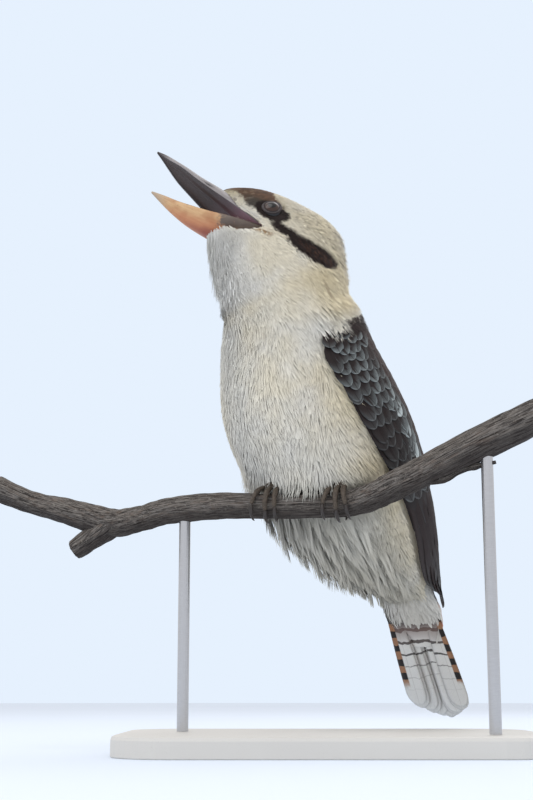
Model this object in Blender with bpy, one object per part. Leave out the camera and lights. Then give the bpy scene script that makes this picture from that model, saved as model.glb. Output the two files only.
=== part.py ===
"""Laughing kookaburra, life size, calling with its bill open on a cut length of dead branch.

The branch is held over a flat base by two rods. Metres, +Z up, origin at the centre of the
base's underside, on the floor. The bird's breast faces -Y and -X, and its head is turned to -X.
"""

import math

import bpy
import numpy as np

MM = 0.001
GAP = 0.0003

# Body sections from tail to face, in millimetres and degrees. Each is an ellipse across the body:
# its centre, the compass heading of the way forward (0 is -Y, 90 is -X), how far forward rises,
# the roll, the half width, and the depths to the back and to the belly.
BODY = (
    # x, y, z, heading, rise, roll, half width, back, belly
    (59, 92, 92, 38, 58, 0, 17, 6, 7),  # 0 end of the tail coverts
    (49, 80, 108, 38, 54, 0, 24, 12, 18),  # 1 vent
    (37, 62, 127, 38, 52, 0, 35.5, 21, 35),  # 2 rump
    (21, 44, 148, 38, 56, 0, 48, 33, 47),  # 3 loin
    (7, 28, 170, 38, 62, 0, 53, 42, 53),  # 4 belly
    (-4, 16, 193, 38, 66, 0, 55, 46, 57),  # 5 flank
    (-13, 5, 215, 38, 70, 0, 53, 45, 56),  # 6 breast
    (-20, -4, 238, 40, 72, 0, 47, 41, 49),  # 7 shoulder
    (-25, -11, 260, 48, 70, 1, 41, 40, 42),  # 8 collar
    (-27, -15, 275, 62, 64, 3, 36, 43, 42),  # 9 neck
    (-32, -17, 291, 78, 54, 5, 32, 47, 41),  # 10 nape
    (-43, -18, 307, 88, 44, 8, 28, 37, 36),  # 11 cheek
    (-56, -18, 320, 90, 36, 9, 21, 28, 28),  # 12 brow
    (-67, -18, 328, 90, 31, 12, 13, 20, 19),  # 13 face
    (-74, -18, 332, 90, 31, 15, 8, 13.5, 14),  # 14 front of the face
)
TORSO_END, TORSO_TOP, NECK_TOP, FACE = 0.45, 7.6, 9.6, 14.0
CUT = 0.02  # a thin cut between nodes, as a share of one section's spacing
BODY_SIDES = 24

# The gape: the corner line of the mouth crosses the head here, and both halves of the bill
# start from it. Lengths run from the gape to each tip.
GAPE = np.array([-43.2, -18.2, 308.7]) * MM
HEAD_HEADING, BILL_ROLL = 90, 20
UPPER_RISE, LOWER_RISE = 42.8, 26.4
UPPER_LENGTH, LOWER_LENGTH = 87.2 * MM, 74.7 * MM

EYE_RADIUS = 7.0 * MM
EYE_SECTION, EYE_ANGLE, EYE_DEPTH = 11.3, 66, 4.8 * MM
LID_POINTS = 13
BILL_SEAT = 0.45 * MM
MOUTH_DIP = 4.0  # degrees that the mouth cuts the chin below the lower half, whose edge is bowed
NOSTRIL_SHARE, NOSTRIL_OUT, NOSTRIL_UP = 0.53, 10.2 * MM, 2.6 * MM

# The branch: centre line and radius, with a cut end at each side of the bird.
PERCH = (
    # x, y, z, radius
    (-214, 53, 165, 8.2),
    (-190, 45, 155, 7.2),
    (-170, 37, 149, 7.6),
    (-150, 30, 143, 8.5),
    (-133, 24, 138.5, 8.7),
    (-117, 18, 141, 8.1),
    (-101, 12, 144.5, 7.7),
    (-79, 4, 146, 7.9),
    (-54, -5, 146, 7.8),
    (-24, -16, 144.5, 7.5),
    (8, -27, 144, 7.5),
    (25, -33, 148.5, 7.9),
    (42, -40, 156, 8.8),
    (60, -46, 164, 9.1),
    (92, -58, 179, 9.7),
    (120, -68, 191, 9.5),
)
PERCH_SIDES = 14
STUB_ROOT, STUB_TIP = (-136, 25, 138), (-159, 34, 123)
STUB_RADII = (8.0 * MM, 6.2 * MM)
TWIG = ((52, -43, 156), (64, -47.5, 155.5), (76, -52, 161), (93, -58, 164))
TWIG_RADIUS = 1.7 * MM

BASE_LENGTH, BASE_WIDTH, BASE_HEIGHT = 250 * MM, 176 * MM, 12 * MM
BASE_CORNER, BASE_BEVEL = 36 * MM, 2.5 * MM
ROD_RADIUS = 3.5 * MM
ROD_X = {"stand_rod_left": -88 * MM, "stand_rod_right": 88 * MM}

# Feet: where each leg stands along the branch, in X.
FEET = {"left": 4 * MM, "right": -36 * MM}
TOE_RADIUS = 2.3 * MM
TARSUS_RADIUS = 3.0 * MM
CLAW_LENGTH = 9.5 * MM
ACROSS = (0.9, 0.3, 0.1)  # roughly along the branch, so across each toe

# Wing: sections of the body that it lies along, and its tiers of feathers.
WING_TOP, WING_TIP = 7.55, -0.3
FAR_WING_COVERED = 22  # degrees of the right wing's front edge that the breast hides
VANE = 0.6 * MM

# Rows of loose locks on the underside: section, first and last angle, count, reach in sections.
FRINGE_ROWS = (
    (4.2, 152, 244, 6, 1.25),
    (3.3, 148, 240, 6, 1.15),
    (2.3, 142, 226, 5, 1.2),
)

# Tail: root on the body's line, and the way it hangs.
TAIL_HEADING, TAIL_RISE = 38, 60
TAIL_ROOT = np.array([55.5, 87.5, 97.8]) * MM
TAIL_LENGTH = 93 * MM
TAIL_START = 14 * MM
TAIL_FAN = 0.03
TAIL_PAIRS = 6
# The coverts round the tail's root: distance from it, half width, height over and under, in mm.
TAIL_COVERTS = ((1.6, 19, 7.5, 10.5), (11, 20.5, 6, 9), (24, 18.5, 3.6, 7), (38, 11, 0.8, 3.4))

COLOURS = {
    "white_plumage": ((0.74, 0.70, 0.60), 0.85),
    "brown_plumage": ((0.075, 0.05, 0.04), 0.7),
    "tail_plumage": ((0.66, 0.60, 0.52), 0.75),
    "upper_bill": ((0.075, 0.06, 0.055), 0.4),
    "lower_bill": ((0.66, 0.42, 0.24), 0.45),
    "eye": ((0.03, 0.018, 0.012), 0.08),
    "foot_skin": ((0.22, 0.19, 0.16), 0.6),
    "claw_horn": ((0.05, 0.04, 0.035), 0.35),
    "bark": ((0.20, 0.175, 0.155), 0.85),
    "stand": ((0.62, 0.60, 0.57), 0.5),
    "rod": ((0.55, 0.55, 0.56), 0.3),
}


def clear_scene():
    """Removes whatever objects the file starts with."""
    for found in list(bpy.data.objects):
        bpy.data.objects.remove(found, do_unlink=True)


def material(name):
    """A Principled material of this name, with its colour and roughness."""
    made = bpy.data.materials.get(name)
    if made is None:
        made = bpy.data.materials.new(name)
        made.use_nodes = True
        colour, roughness = COLOURS[name]
        shader = made.node_tree.nodes["Principled BSDF"]
        shader.inputs["Base Color"].default_value = (*colour, 1)
        shader.inputs["Roughness"].default_value = roughness
        shader.inputs["Metallic"].default_value = 1.0 if name == "rod" else 0.0
    return made


def solid(name, points, faces, finish):
    """A closed mesh object, turned right side out by the sign of its volume."""
    points = np.asarray(points, float)
    volume = sum(
        np.dot(points[f[0]], np.cross(points[f[i]], points[f[i + 1]]))
        for f in faces
        for i in range(1, len(f) - 1)
    )
    if volume < 0:
        faces = [tuple(reversed(f)) for f in faces]
    mesh = bpy.data.meshes.new(name)
    mesh.from_pydata([tuple(p) for p in points], [], faces)
    mesh.materials.append(material(finish))
    mesh.update()
    made = bpy.data.objects.new(name, mesh)
    bpy.context.scene.collection.objects.link(made)
    return made


def plate(name, outer, inner, finish):
    """A thin curved plate between two grids of points of the same shape, closed round its rim."""
    outer, inner = np.asarray(outer, float), np.asarray(inner, float)
    rows, columns = outer.shape[:2]
    size = rows * columns
    grid = np.arange(size).reshape(rows, columns)
    faces = []
    for i in range(rows - 1):
        for j in range(columns - 1):
            a, b, c, d = grid[i, j], grid[i, j + 1], grid[i + 1, j + 1], grid[i + 1, j]
            faces += [(a, b, c), (a, c, d), (size + a, size + c, size + b), (size + a, size + d, size + c)]
    rim = [*grid[0], *grid[1:, -1], *grid[-1, -2::-1], *grid[-2:0:-1, 0]]
    for a, b in zip(rim, rim[1:] + rim[:1]):
        faces += [(b, a, size + a), (b, size + a, size + b)]
    return solid(name, np.concatenate([outer.reshape(-1, 3), inner.reshape(-1, 3)]), faces, finish)


def rings_to_solid(name, rings, finish, start=None, end=None):
    """A skin over rings of equal point count, closed at both ends by a fan to a centre point."""
    rings = np.asarray(rings, float)
    count, sides = rings.shape[:2]
    start = rings[0].mean(0) if start is None else start
    end = rings[-1].mean(0) if end is None else end
    points = np.concatenate([rings.reshape(-1, 3), [start, end]])
    first, last = count * sides, count * sides + 1
    faces = []
    for j in range(sides):
        k = (j + 1) % sides
        for i in range(count - 1):
            a, b = i * sides + j, i * sides + k
            faces += [(a, b, b + sides), (a, b + sides, a + sides)]
        faces += [(first, k, j), (last, last - 1 - sides + j, last - 1 - sides + k)]
    return solid(name, points, faces, finish)


def boolean(target, others, operation):
    """Joins others to target, or cuts them from it, applies that and removes them."""
    group = bpy.data.collections.new("operands")
    bpy.context.scene.collection.children.link(group)
    for other in others:
        group.objects.link(other)
    modifier = target.modifiers.new("join", "BOOLEAN")
    modifier.operation = operation
    modifier.operand_type = "COLLECTION"
    modifier.collection = group
    modifier.solver = "MANIFOLD"
    bpy.context.view_layer.update()
    graph = bpy.context.evaluated_depsgraph_get()
    made = bpy.data.meshes.new_from_object(target.evaluated_get(graph))
    target.modifiers.remove(modifier)
    target.data = made
    for other in others:
        bpy.data.objects.remove(other, do_unlink=True)
    bpy.data.collections.remove(group)
    keep_largest(target)


def keep_largest(target):
    """Keeps the closed surface of largest volume, as triangles, and drops loose scraps."""
    mesh = target.data
    mesh.calc_loop_triangles()
    points = np.array([v.co for v in mesh.vertices])
    triangles = np.array([t.vertices for t in mesh.loop_triangles])
    label = np.arange(len(points))
    while True:
        low = label[triangles].min(1)
        new = label.copy()
        np.minimum.at(new, triangles.ravel(), np.repeat(low, 3))
        new = new[new]
        if (new == label).all():
            break
        label = new
    corners = points[triangles]
    volumes = np.einsum("ij,ij->i", corners[:, 0], np.cross(corners[:, 1], corners[:, 2]))
    owner = label[triangles[:, 0]]
    best = max(set(owner), key=lambda o: volumes[owner == o].sum())
    kept = triangles[owner == best]
    used, faces = np.unique(kept, return_inverse=True)
    made = bpy.data.meshes.new(target.name)
    made.from_pydata(
        [tuple(p) for p in points[used]], [], [tuple(f) for f in faces.reshape(-1, 3)]
    )
    made.materials.append(mesh.materials[0])
    made.update()
    target.data = made


def unit(vector):
    """The vector, or each row of an array of vectors, at length 1."""
    vector = np.asarray(vector, float)
    return vector / np.linalg.norm(vector, axis=-1, keepdims=True)


def smooth_row(rows, t):
    """A Catmull-Rom curve through the rows of a table, read at t, which may run past its ends."""
    rows = np.asarray(rows, float)
    padded = np.concatenate([[2 * rows[0] - rows[1]], rows, [2 * rows[-1] - rows[-2]]])
    i = int(min(max(math.floor(t), 0), len(rows) - 2))
    u = t - i
    p0, p1, p2, p3 = padded[i : i + 4]
    return 0.5 * (
        2 * p1
        + (p2 - p0) * u
        + (2 * p0 - 5 * p1 + 4 * p2 - p3) * u**2
        + (3 * p1 - p0 - 3 * p2 + p3) * u**3
    )


def axes_of(heading, rise, roll):
    """Forward, left and back directions of a section."""
    heading, rise, roll = map(math.radians, (heading, rise, roll))
    level = np.array([-math.sin(heading), -math.cos(heading), 0])
    side = np.array([math.cos(heading), -math.sin(heading), 0])
    up = np.array([0, 0, 1.0])
    forward = math.cos(rise) * level + math.sin(rise) * up
    back = math.cos(rise) * up - math.sin(rise) * level
    left = side * math.cos(roll) + back * math.sin(roll)
    return forward, left, back * math.cos(roll) - side * math.sin(roll)


def body_points(t, angles, grow=0.0):
    """Points of the body's surface at section t. Angle 0 is the back, 90 the left, 180 the belly."""
    row = smooth_row(BODY, t)
    _, left, back = axes_of(*row[3:6])
    angles = np.radians(np.atleast_1d(angles))
    side, away = np.sin(angles), np.cos(angles)
    depth = np.where(away > 0, row[7], row[8]) * MM + grow
    across = np.outer(side * (row[6] * MM + grow), left)
    return row[:3] * MM + across + np.outer(away * depth, back)


def body_loft(name, low, high, count, grow=0.0, start=None, end=None):
    """The body between two sections, as a closed solid."""
    angles = np.arange(BODY_SIDES) * 360 / BODY_SIDES
    rings = [body_points(t, angles, grow) for t in np.linspace(low, high, count)]
    return rings_to_solid(name, rings, "white_plumage", start, end)


def tube(name, centres, radii, sides, finish, up=(0, 0, 1), grow=0.0):
    """A tube along a row of centres, wider and longer all round by grow."""
    centres = np.array(centres, float)
    tangents = unit(np.gradient(centres, axis=0))
    centres[0] -= tangents[0] * grow
    centres[-1] += tangents[-1] * grow
    radii = np.asarray(radii, float) + grow
    turn = np.arange(sides) * 2 * math.pi / sides
    rings = []
    for centre, tangent, radius in zip(centres, tangents, radii):
        side = unit(np.cross(tangent, up))
        over = np.cross(side, tangent)
        ring = np.outer(np.cos(turn), side) + np.outer(np.sin(turn), over)
        rings.append(centre + ring * radius)
    return rings_to_solid(name, rings, finish)


def vane(path, normals, half_widths, ridge, tilt, finish="brown_plumage"):
    """One feather: a thin plate along a path, arched over its shaft and tilted across it.

    Both faces are split along the same diagonals, so they never cross.
    """
    path, normals = np.asarray(path, float), unit(normals)
    tangents = unit(np.gradient(path, axis=0))
    lateral = unit(np.cross(tangents, normals))
    across = (-1, 0, 1) if ridge else (-1, 1)
    points = []
    for layer in (0.5, -0.5):
        for b in across:
            lift = VANE * layer + ridge * (1 - abs(b))
            step = lateral * (b * half_widths)[:, None]
            points.append(path + step + normals * (lift - tilt * b * half_widths)[:, None])
    count, width = len(path), len(across)
    points = np.stack(points, 1)
    order = list(range(width)) + list(range(2 * width - 1, width - 1, -1))
    faces = []
    for i in range(count - 1):
        row, after = i * 2 * width, (i + 1) * 2 * width
        for j in range(2 * width):
            a, b = order[j], order[(j + 1) % (2 * width)]
            if j < width:
                faces += [(row + a, row + b, after + b), (row + a, after + b, after + a)]
            else:
                faces += [(row + a, row + b, after + a), (row + b, after + b, after + a)]
    end = (count - 1) * 2 * width
    faces += [tuple(reversed(order)), tuple(end + a for a in order)]
    return solid("vane", points.reshape(-1, 3), faces, finish)


def leaf(along, root=0.55, tip=0.3):
    """Share of a feather's full half width at each share of its length: narrow, full, round."""
    along = np.asarray(along, float)
    rounding = np.sqrt(np.clip(1 - ((along - 0.6) / 0.42) ** 2, 0, 1))
    swelling = root + (1 - root) * np.sin(np.clip(along / 0.6, 0, 1) * math.pi / 2)
    return np.where(along > 0.6, np.maximum(rounding, tip), swelling)


def wing_point(u, v, height, side):
    """A point of the folded wing: u runs from shoulder to tip, v from front edge to back edge."""
    t = WING_TOP + (WING_TIP - WING_TOP) * u
    front = np.interp(t, (0.0, 0.7, 1.8, 7.0, 7.4, 7.55), (80, 104, 113, 120, 115, 96))
    back = np.interp(t, (0.0, 1.0, 2.0, 3.0, 5.0, 7.55), (22, 15, 11, 10, 10, 15))
    clear = np.interp(t, (0.0, 1.0, 2.0, 3.0), (4.2, 2.8, 2.0, 1.7)) * MM
    front -= 0 if side > 0 else FAR_WING_COVERED
    return body_points(t, side * (front + (back - front) * v), clear + height)[0]


def wing_normal(u, v, side):
    """The way out of the wing at u, v."""
    step = 0.01
    along = wing_point(u + step, v, 0, side) - wing_point(u - step, v, 0, side)
    across = wing_point(u, v + step, 0, side) - wing_point(u, v - step, 0, side)
    return unit(np.cross(across, along)) * side


def wing_vane(root, tip, half_width, low, high, tilt, side, along=(0, 0.4, 0.75, 1.0)):
    """One feather of the wing, from a root sunk in its core to a tip lifted clear of the next tier."""
    along = np.array(along)
    rise = low + (high - low) * along
    places = [(root[0] + (tip[0] - root[0]) * a, root[1] + (tip[1] - root[1]) * a) for a in along]
    path = [wing_point(u, v, h, side) for (u, v), h in zip(places, rise)]
    normals = [wing_normal(u, v, side) for u, v in places]
    return vane(path, normals, half_width * leaf(along), 0, -side * tilt)


def wing_core(name, side):
    """The covered part of the wing: a thin plate on the flank that the feathers grow from."""
    us = np.array([0.0, 0.06, 0.16, 0.26, 0.36, 0.46, 0.54, 0.62])
    thick = np.array([0.8, 1.6, 2.0, 2.0, 2.0, 1.9, 1.6, 1.0]) * MM
    vs = np.array([0.0, 0.08, 0.21, 0.34, 0.47, 0.60, 0.73, 0.86, 1.0])
    edge = np.array([0.3, 0.8, 1.0, 1.0, 1.0, 1.0, 1.0, 0.8, 0.4])
    outer = [[wing_point(u, v, h * e, side) for v, e in zip(vs, edge)] for u, h in zip(us, thick)]
    inner = [[wing_point(u, v, 0, side) for v in vs] for u in us]
    return plate(name, outer, inner, "brown_plumage")


# Tiers of the folded wing: count, root u, tip u, first and last v, half width, root height,
# tip height, all heights over the flank in millimetres.
WING_TIERS = {
    "lesser": (5, 0.05, 0.24, 0.10, 0.72, 11.5, 0.6, 3.8),
    "median": (5, 0.18, 0.37, 0.09, 0.74, 10.5, 0.6, 4.2),
    "greater": (6, 0.30, 0.51, 0.09, 0.76, 9.4, 0.6, 4.2),
    "secondaries": (4, 0.44, 0.70, 0.36, 0.74, 8.6, 0.6, 3.8),
}
WING_SHINGLE = 0.12
LONG_STATIONS = (0, 0.3, 0.6, 0.85, 1.0)
PRIMARY_TIPS = ((0.90, 0.13), (0.97, 0.28), (1.00, 0.43), (0.95, 0.57), (0.87, 0.69))
TERTIALS = ((0.42, 0.80, 0.77, 0.80, 5.0), (0.38, 0.90, 0.71, 0.90, 6.2))
SCAPULARS = ((0.08, 0.88, 0.34, 0.88, 5.0), (0.24, 0.90, 0.52, 0.90, 6.2))


def wing(name, side):
    """A folded wing: core, coverts in tiers, secondaries, tertials, scapulars and primaries."""
    core = wing_core(name, side)
    feathers = []
    for count, top, low, first, last, half, sunk, lifted in WING_TIERS.values():
        for k in range(count):
            v = first + (last - first) * k / (count - 1)
            tip = low + 0.012 * math.sin(2.4 * k + 10 * top)
            feathers.append(
                wing_vane((top, v), (tip, v), half * MM, sunk * MM, lifted * MM, WING_SHINGLE, side)
            )
    for k, tip in enumerate(PRIMARY_TIPS):
        root = (0.55, 0.14 + 0.1 * k)
        feathers.append(
            wing_vane(root, tip, 6.6 * MM, 0.6 * MM, 2.0 * MM, 0.18, side, LONG_STATIONS)
        )
    for half, rows in ((7.5, TERTIALS), (9.5, SCAPULARS)):
        for root_u, root_v, tip_u, tip_v, lifted in rows:
            root, tip = (root_u, root_v), (tip_u, tip_v)
            feathers.append(wing_vane(root, tip, half * MM, 0.6 * MM, lifted * MM, 0.03, side))
    boolean(core, feathers, "UNION")
    return core


def tail_point(along, across, height):
    """A point of the tail: distance from its root, distance to the bird's left, height over it."""
    forward, left, back = axes_of(TAIL_HEADING, TAIL_RISE, 0)
    return TAIL_ROOT - forward * along + left * across + back * height


def tail():
    """Twelve long feathers, the middle pair on top, fanned from a root block with its coverts."""
    _, _, back = axes_of(TAIL_HEADING, TAIL_RISE, 0)
    turn = np.radians(np.arange(16) * 22.5)
    rings = []
    for along, half, top, below in TAIL_COVERTS:
        depth = np.where(np.sin(turn) > 0, top, below) * MM
        rings.append(
            [tail_point(along * MM, half * MM * math.cos(a), d * math.sin(a)) for a, d in zip(turn, depth)]
        )
    core = rings_to_solid("tail", rings, "tail_plumage")
    along = np.array(LONG_STATIONS)
    feathers = []
    for side in (-1, 1):
        for pair in range(TAIL_PAIRS):
            share = pair / (TAIL_PAIRS - 1)
            inner, outer = (0.2 + 2.0 * share) * MM, (17.5 + 5.0 * share) * MM
            widths = (outer - inner) / 2 * leaf(along, root=0.7, tip=0.45)
            length = TAIL_LENGTH - (14 * share**1.5) * MM
            reach = TAIL_START + (length - TAIL_START) * along
            fan = TAIL_FAN * (reach - TAIL_START) * share
            height = (2.3 - 5.0 * share) * MM
            path = [tail_point(r, side * (inner + w + f), height) for r, w, f in zip(reach, widths, fan)]
            feathers.append(vane(path, [back] * len(path), widths, 0.3 * MM, 0.0, "tail_plumage"))
    boolean(core, feathers, "UNION")
    return core


def bill_half(name, rise, length, sections, finish, grow=0.0):
    """Half of the bill: sections of half width, outer depth, inner depth and drop, gape to tip.

    Outer depth is away from the mouth, to the ridge or keel, and inner depth is how far the
    palate or floor hollows into it. Drop bends the cutting edge towards the mouth. A grown
    half has no hollow: it cuts the seat for the other.
    """
    forward, left, back = axes_of(HEAD_HEADING, rise, BILL_ROLL)
    out = back if name.startswith("upper") else -back
    rings = []
    for share, half, depth, hollow, drop in sections:
        end = {sections[0][0]: -grow, sections[-1][0]: grow}.get(share, 0)
        centre = GAPE + forward * (share * length + end) - out * (drop * MM + grow)
        half, depth, hollow = half * MM + grow, depth * MM + 2 * grow, 0 if grow else hollow * MM
        outline = [(-1, 0), (-0.86, 0.34), (-0.5, 0.8), (0, 1), (0.5, 0.8), (0.86, 0.34), (1, 0)]
        ring = [centre + left * a * half + out * b * depth for a, b in outline]
        inner = [(0.8, 0.25), (0.4, 0.85), (0, 1), (-0.4, 0.85), (-0.8, 0.25)]
        ring += [centre + left * a * (half - 1.1 * MM) + out * b * hollow for a, b in inner]
        rings.append(ring)
    return rings_to_solid(name, rings, finish)


UPPER_SECTIONS = (
    # share of length, half width, outer depth, hollow, drop
    (0.10, 15.5, 11.4, 3.0, 0.6),
    (0.28, 15.4, 12.0, 3.6, 1.4),
    (0.46, 12.9, 11.0, 3.6, 1.8),
    (0.62, 10.4, 8.2, 3.0, 1.8),
    (0.76, 8.4, 6.2, 2.4, 1.4),
    (0.87, 4.8, 4.9, 1.6, 0.9),
    (0.94, 2.4, 3.4, 0.9, 0.4),
    (1.00, 0.7, 1.0, 0.2, 0.0),
)
LOWER_SECTIONS = (
    (0.10, 13.4, 8.0, 2.5, -0.5),
    (0.28, 13.1, 9.3, 3.2, -1.8),
    (0.46, 11.4, 9.2, 3.2, -2.6),
    (0.62, 8.6, 8.2, 2.8, -2.6),
    (0.76, 5.6, 6.3, 2.0, -1.9),
    (0.88, 3.3, 4.0, 1.2, -0.8),
    (1.00, 0.7, 0.9, 0.2, 0.0),
)


def upper_bill(grow=0.0):
    return bill_half("upper_bill", UPPER_RISE, UPPER_LENGTH, UPPER_SECTIONS, "upper_bill", grow)


def bored_upper_bill():
    """The upper half with a slit for a nostril on each side, just ahead of the feathers."""
    made = upper_bill()
    forward, left, back = axes_of(HEAD_HEADING, UPPER_RISE, BILL_ROLL)
    slits = []
    for side in (-1, 1):
        middle = GAPE + forward * NOSTRIL_SHARE * UPPER_LENGTH
        middle = middle + left * side * NOSTRIL_OUT + back * NOSTRIL_UP
        ends = [middle + forward * reach * MM for reach in (-2.8, 0, 2.8)]
        slits.append(tube("slit", ends, np.array([0.3, 0.9, 0.4]) * MM, 6, "upper_bill"))
    boolean(made, slits, "DIFFERENCE")


def lower_bill(grow=0.0):
    return bill_half("lower_bill", LOWER_RISE, LOWER_LENGTH, LOWER_SECTIONS, "lower_bill", grow)


def mouth_wedge():
    """The open mouth, a wedge from the gape out between the two halves of the bill."""
    _, left, _ = axes_of(HEAD_HEADING, UPPER_RISE, BILL_ROLL)
    upper = axes_of(HEAD_HEADING, UPPER_RISE - 1.0, BILL_ROLL)[0]
    lower = axes_of(HEAD_HEADING, LOWER_RISE - MOUTH_DIP, BILL_ROLL)[0]
    reach, half = 60 * MM, 45 * MM
    rings = []
    for side in (-1, 1):
        corner = GAPE + left * side * half
        rings.append([corner, corner + upper * reach, corner + lower * reach])
    return rings_to_solid("wedge", rings, "white_plumage")


def eye_centre(side):
    """Centre of an eyeball, sunk under the side of the head, and the way it looks."""
    skin = body_points(EYE_SECTION, side * EYE_ANGLE)[0]
    ahead = body_points(EYE_SECTION + 0.05, side * EYE_ANGLE)[0]
    below = body_points(EYE_SECTION, side * (EYE_ANGLE + 2))[0]
    out = unit(np.cross(ahead - skin, below - skin)) * side
    return skin - out * EYE_DEPTH, out


def ball(name, centre, radius, finish, rows=8, sides=14):
    """A sphere of rings between two poles."""
    turn = np.arange(sides) * 2 * math.pi / sides
    rings = []
    for lean in np.linspace(0, math.pi, rows + 1)[1:-1]:
        flat = np.stack([np.cos(turn), np.sin(turn), 0 * turn], 1) * math.sin(lean)
        rings.append(centre + radius * (flat + np.array([0, 0, math.cos(lean)])))
    top, bottom = centre + [0, 0, radius], centre - [0, 0, radius]
    return rings_to_solid(name, rings, finish, top, bottom)


def lid(side):
    """The ring of bare lid round an eye."""
    centre, out = eye_centre(side)
    across = unit(np.cross(out, (0, 0, 1)))
    over = np.cross(across, out)
    rings = []
    for a in np.linspace(0, 2 * math.pi, LID_POINTS + 1)[:-1]:
        spoke = across * math.cos(a) * 1.12 + over * math.sin(a)
        middle = centre + out * 4.0 * MM + spoke * 6.2 * MM
        turn = [0, 1.26, 2.51, 3.77, 5.03]
        rings.append([middle + (spoke * math.cos(b) + out * math.sin(b)) * 1.5 * MM for b in turn])
    rings = np.concatenate(rings)
    faces = []
    for i in range(LID_POINTS):
        for j in range(5):
            a, b = i * 5 + j, i * 5 + (j + 1) % 5
            c, d = (a + 5) % len(rings), (b + 5) % len(rings)
            faces += [(a, b, d), (a, d, c)]
    return solid("lid", rings, faces, "white_plumage")


def head():
    """The head in front of the neck cut, with lids, eye sockets, the gape and seats for the bill."""
    front = body_points(FACE, (0, 180)).mean(0)
    made = body_loft("head", NECK_TOP + 2 * CUT, FACE, 12, end=front)
    boolean(made, [lid(1), lid(-1)], "UNION")
    sockets = [ball("socket", eye_centre(s)[0], EYE_RADIUS + GAP, "eye") for s in (1, -1)]
    seats = [upper_bill(BILL_SEAT), lower_bill(BILL_SEAT)]
    boolean(made, [mouth_wedge(), *seats, *sockets], "DIFFERENCE")
    return made


def perch_row(x):
    """Centre and radius of the branch at this X, with the way that it runs."""
    table = np.array(PERCH, float)
    t = np.interp(x, table[:, 0] * MM, np.arange(len(table)))
    row = smooth_row(PERCH, t)
    step = smooth_row(PERCH, min(t + 0.1, len(table) - 1)) - smooth_row(PERCH, t - 0.1)
    return row[:3] * MM, row[3] * MM, unit(step[:3])


def perch(grow=0.0):
    """The dead branch, with its broken stub and a splinter under it."""
    ends = (0, len(PERCH) - 1)
    ts = np.linspace(*ends, 29)
    rows = np.array([smooth_row(PERCH, t) for t in ts])
    centres = rows[:, :3] * MM
    tangents = unit(np.gradient(centres, axis=0))
    turn = np.arange(PERCH_SIDES) * 2 * math.pi / PERCH_SIDES
    rings = []
    for t, centre, tangent, radius in zip(ts, centres, tangents, rows[:, 3] * MM):
        side = unit(np.cross(tangent, (0, 0, 1)))
        over = np.cross(side, tangent)
        knots = 1 + 0.035 * np.sin(2 * turn + 1.7 * t) + 0.03 * np.sin(3 * turn - 2.3 * t + 1)
        ring = np.outer(np.cos(turn), side) + np.outer(np.sin(turn), over)
        rings.append(centre + ring * (radius * knots + grow)[:, None])
    made = rings_to_solid("perch", rings, "bark")
    stub = np.linspace(np.array(STUB_ROOT) * MM, np.array(STUB_TIP) * MM, 5)
    radii = np.linspace(*STUB_RADII, 5) * (1, 1.02, 0.95, 1.05, 0.9)
    twig_line = [smooth_row(TWIG, t) * MM for t in np.linspace(0, 3, 10)]
    twig_radii = TWIG_RADIUS * np.linspace(1.6, 0.6, 10)
    twig_radii[7] += 0.9 * MM
    pieces = [
        tube("stub", stub, radii, 10, "bark", grow=grow),
        tube("twig", twig_line, twig_radii, 6, "bark", grow=grow),
    ]
    boolean(made, pieces, "UNION")
    return made


# Toes of one foot: offset of the root along the branch, splay of the tip, angles from the top of
# the branch at root and tip (positive is the bird's front), and the toe's share of full thickness.
TOES = (
    (-3.6, -7.5, -8, 92, 0.92),
    (0.4, 0.5, -8, 112, 1.0),
    (4.4, 6.0, -8, 100, 0.92),
    (0.2, 1.5, 8, -84, 0.95),
)


def toe_frame(side, offset, angle, height):
    """A point at this angle round the branch, this far along from the foot and over the bark."""
    x = FEET[side] + offset * MM
    centre, radius, along = perch_row(x)
    front = unit(np.cross(along, (0, 0, 1)))
    over = np.cross(front, along)
    angle = math.radians(angle)
    out = over * math.cos(angle) + front * math.sin(angle)
    return centre + out * (radius * 1.06 + height), out, along


def leg(side, grow=0.0):
    """Tarsus and four toes that grip the branch, three in front and one behind."""
    toes = []
    for offset, splay, start, end, thick in TOES:
        radius = TOE_RADIUS * thick
        shares = np.linspace(0, 1, 7)
        centres = [
            toe_frame(side, offset + (splay - offset) * s, start + (end - start) * s, radius + 0.6 * MM)[0]
            for s in shares
        ]
        pads = 1 + 0.10 * np.cos(shares * 4 * math.pi)
        taper = 1 - 0.22 * shares
        toes.append(tube("toe", centres, radius * pads * taper, 7, "foot_skin", ACROSS, grow))
    knuckle, _, _ = toe_frame(side, 0.4, -4, 3.4 * MM)
    backward = -axes_of(38, 0, 0)[0]
    top = knuckle + np.array([0, 0, 15 * MM]) + backward * 13 * MM
    shares = np.linspace(0, 1, 5)[:, None]
    shank = knuckle + (top - knuckle) * shares
    radii = TARSUS_RADIUS * np.array([1.3, 1.1, 1.0, 1.0, 1.05])
    made = tube(f"leg_{side}", shank, radii, 10, "foot_skin", (1, 0, 0), grow)
    boolean(made, toes, "UNION")
    return made


def claw(side, index, grow=0.0):
    """A curved claw that carries on from the end of its toe round the branch."""
    offset, splay, start, end, thick = TOES[index]
    turn = 1 if end > start else -1
    radius = TOE_RADIUS * thick * 0.74
    shares = np.linspace(0, 1, 6)
    _, perch_radius, _ = perch_row(FEET[side])
    sweep = math.degrees(CLAW_LENGTH / (perch_radius + radius)) * turn
    first = end + turn * 4.4
    heights = radius + (0.45 + 1.6 * np.sin(shares * math.pi * 0.9)) * MM
    centres = [
        toe_frame(side, splay + 0.3 * s, first + sweep * s, h)[0] for s, h in zip(shares, heights)
    ]
    radii = radius * np.array([0.9, 0.95, 0.8, 0.6, 0.38, 0.12])
    return tube(f"claw_{side}_{index + 1}", centres, radii, 8, "claw_horn", ACROSS, grow)


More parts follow.
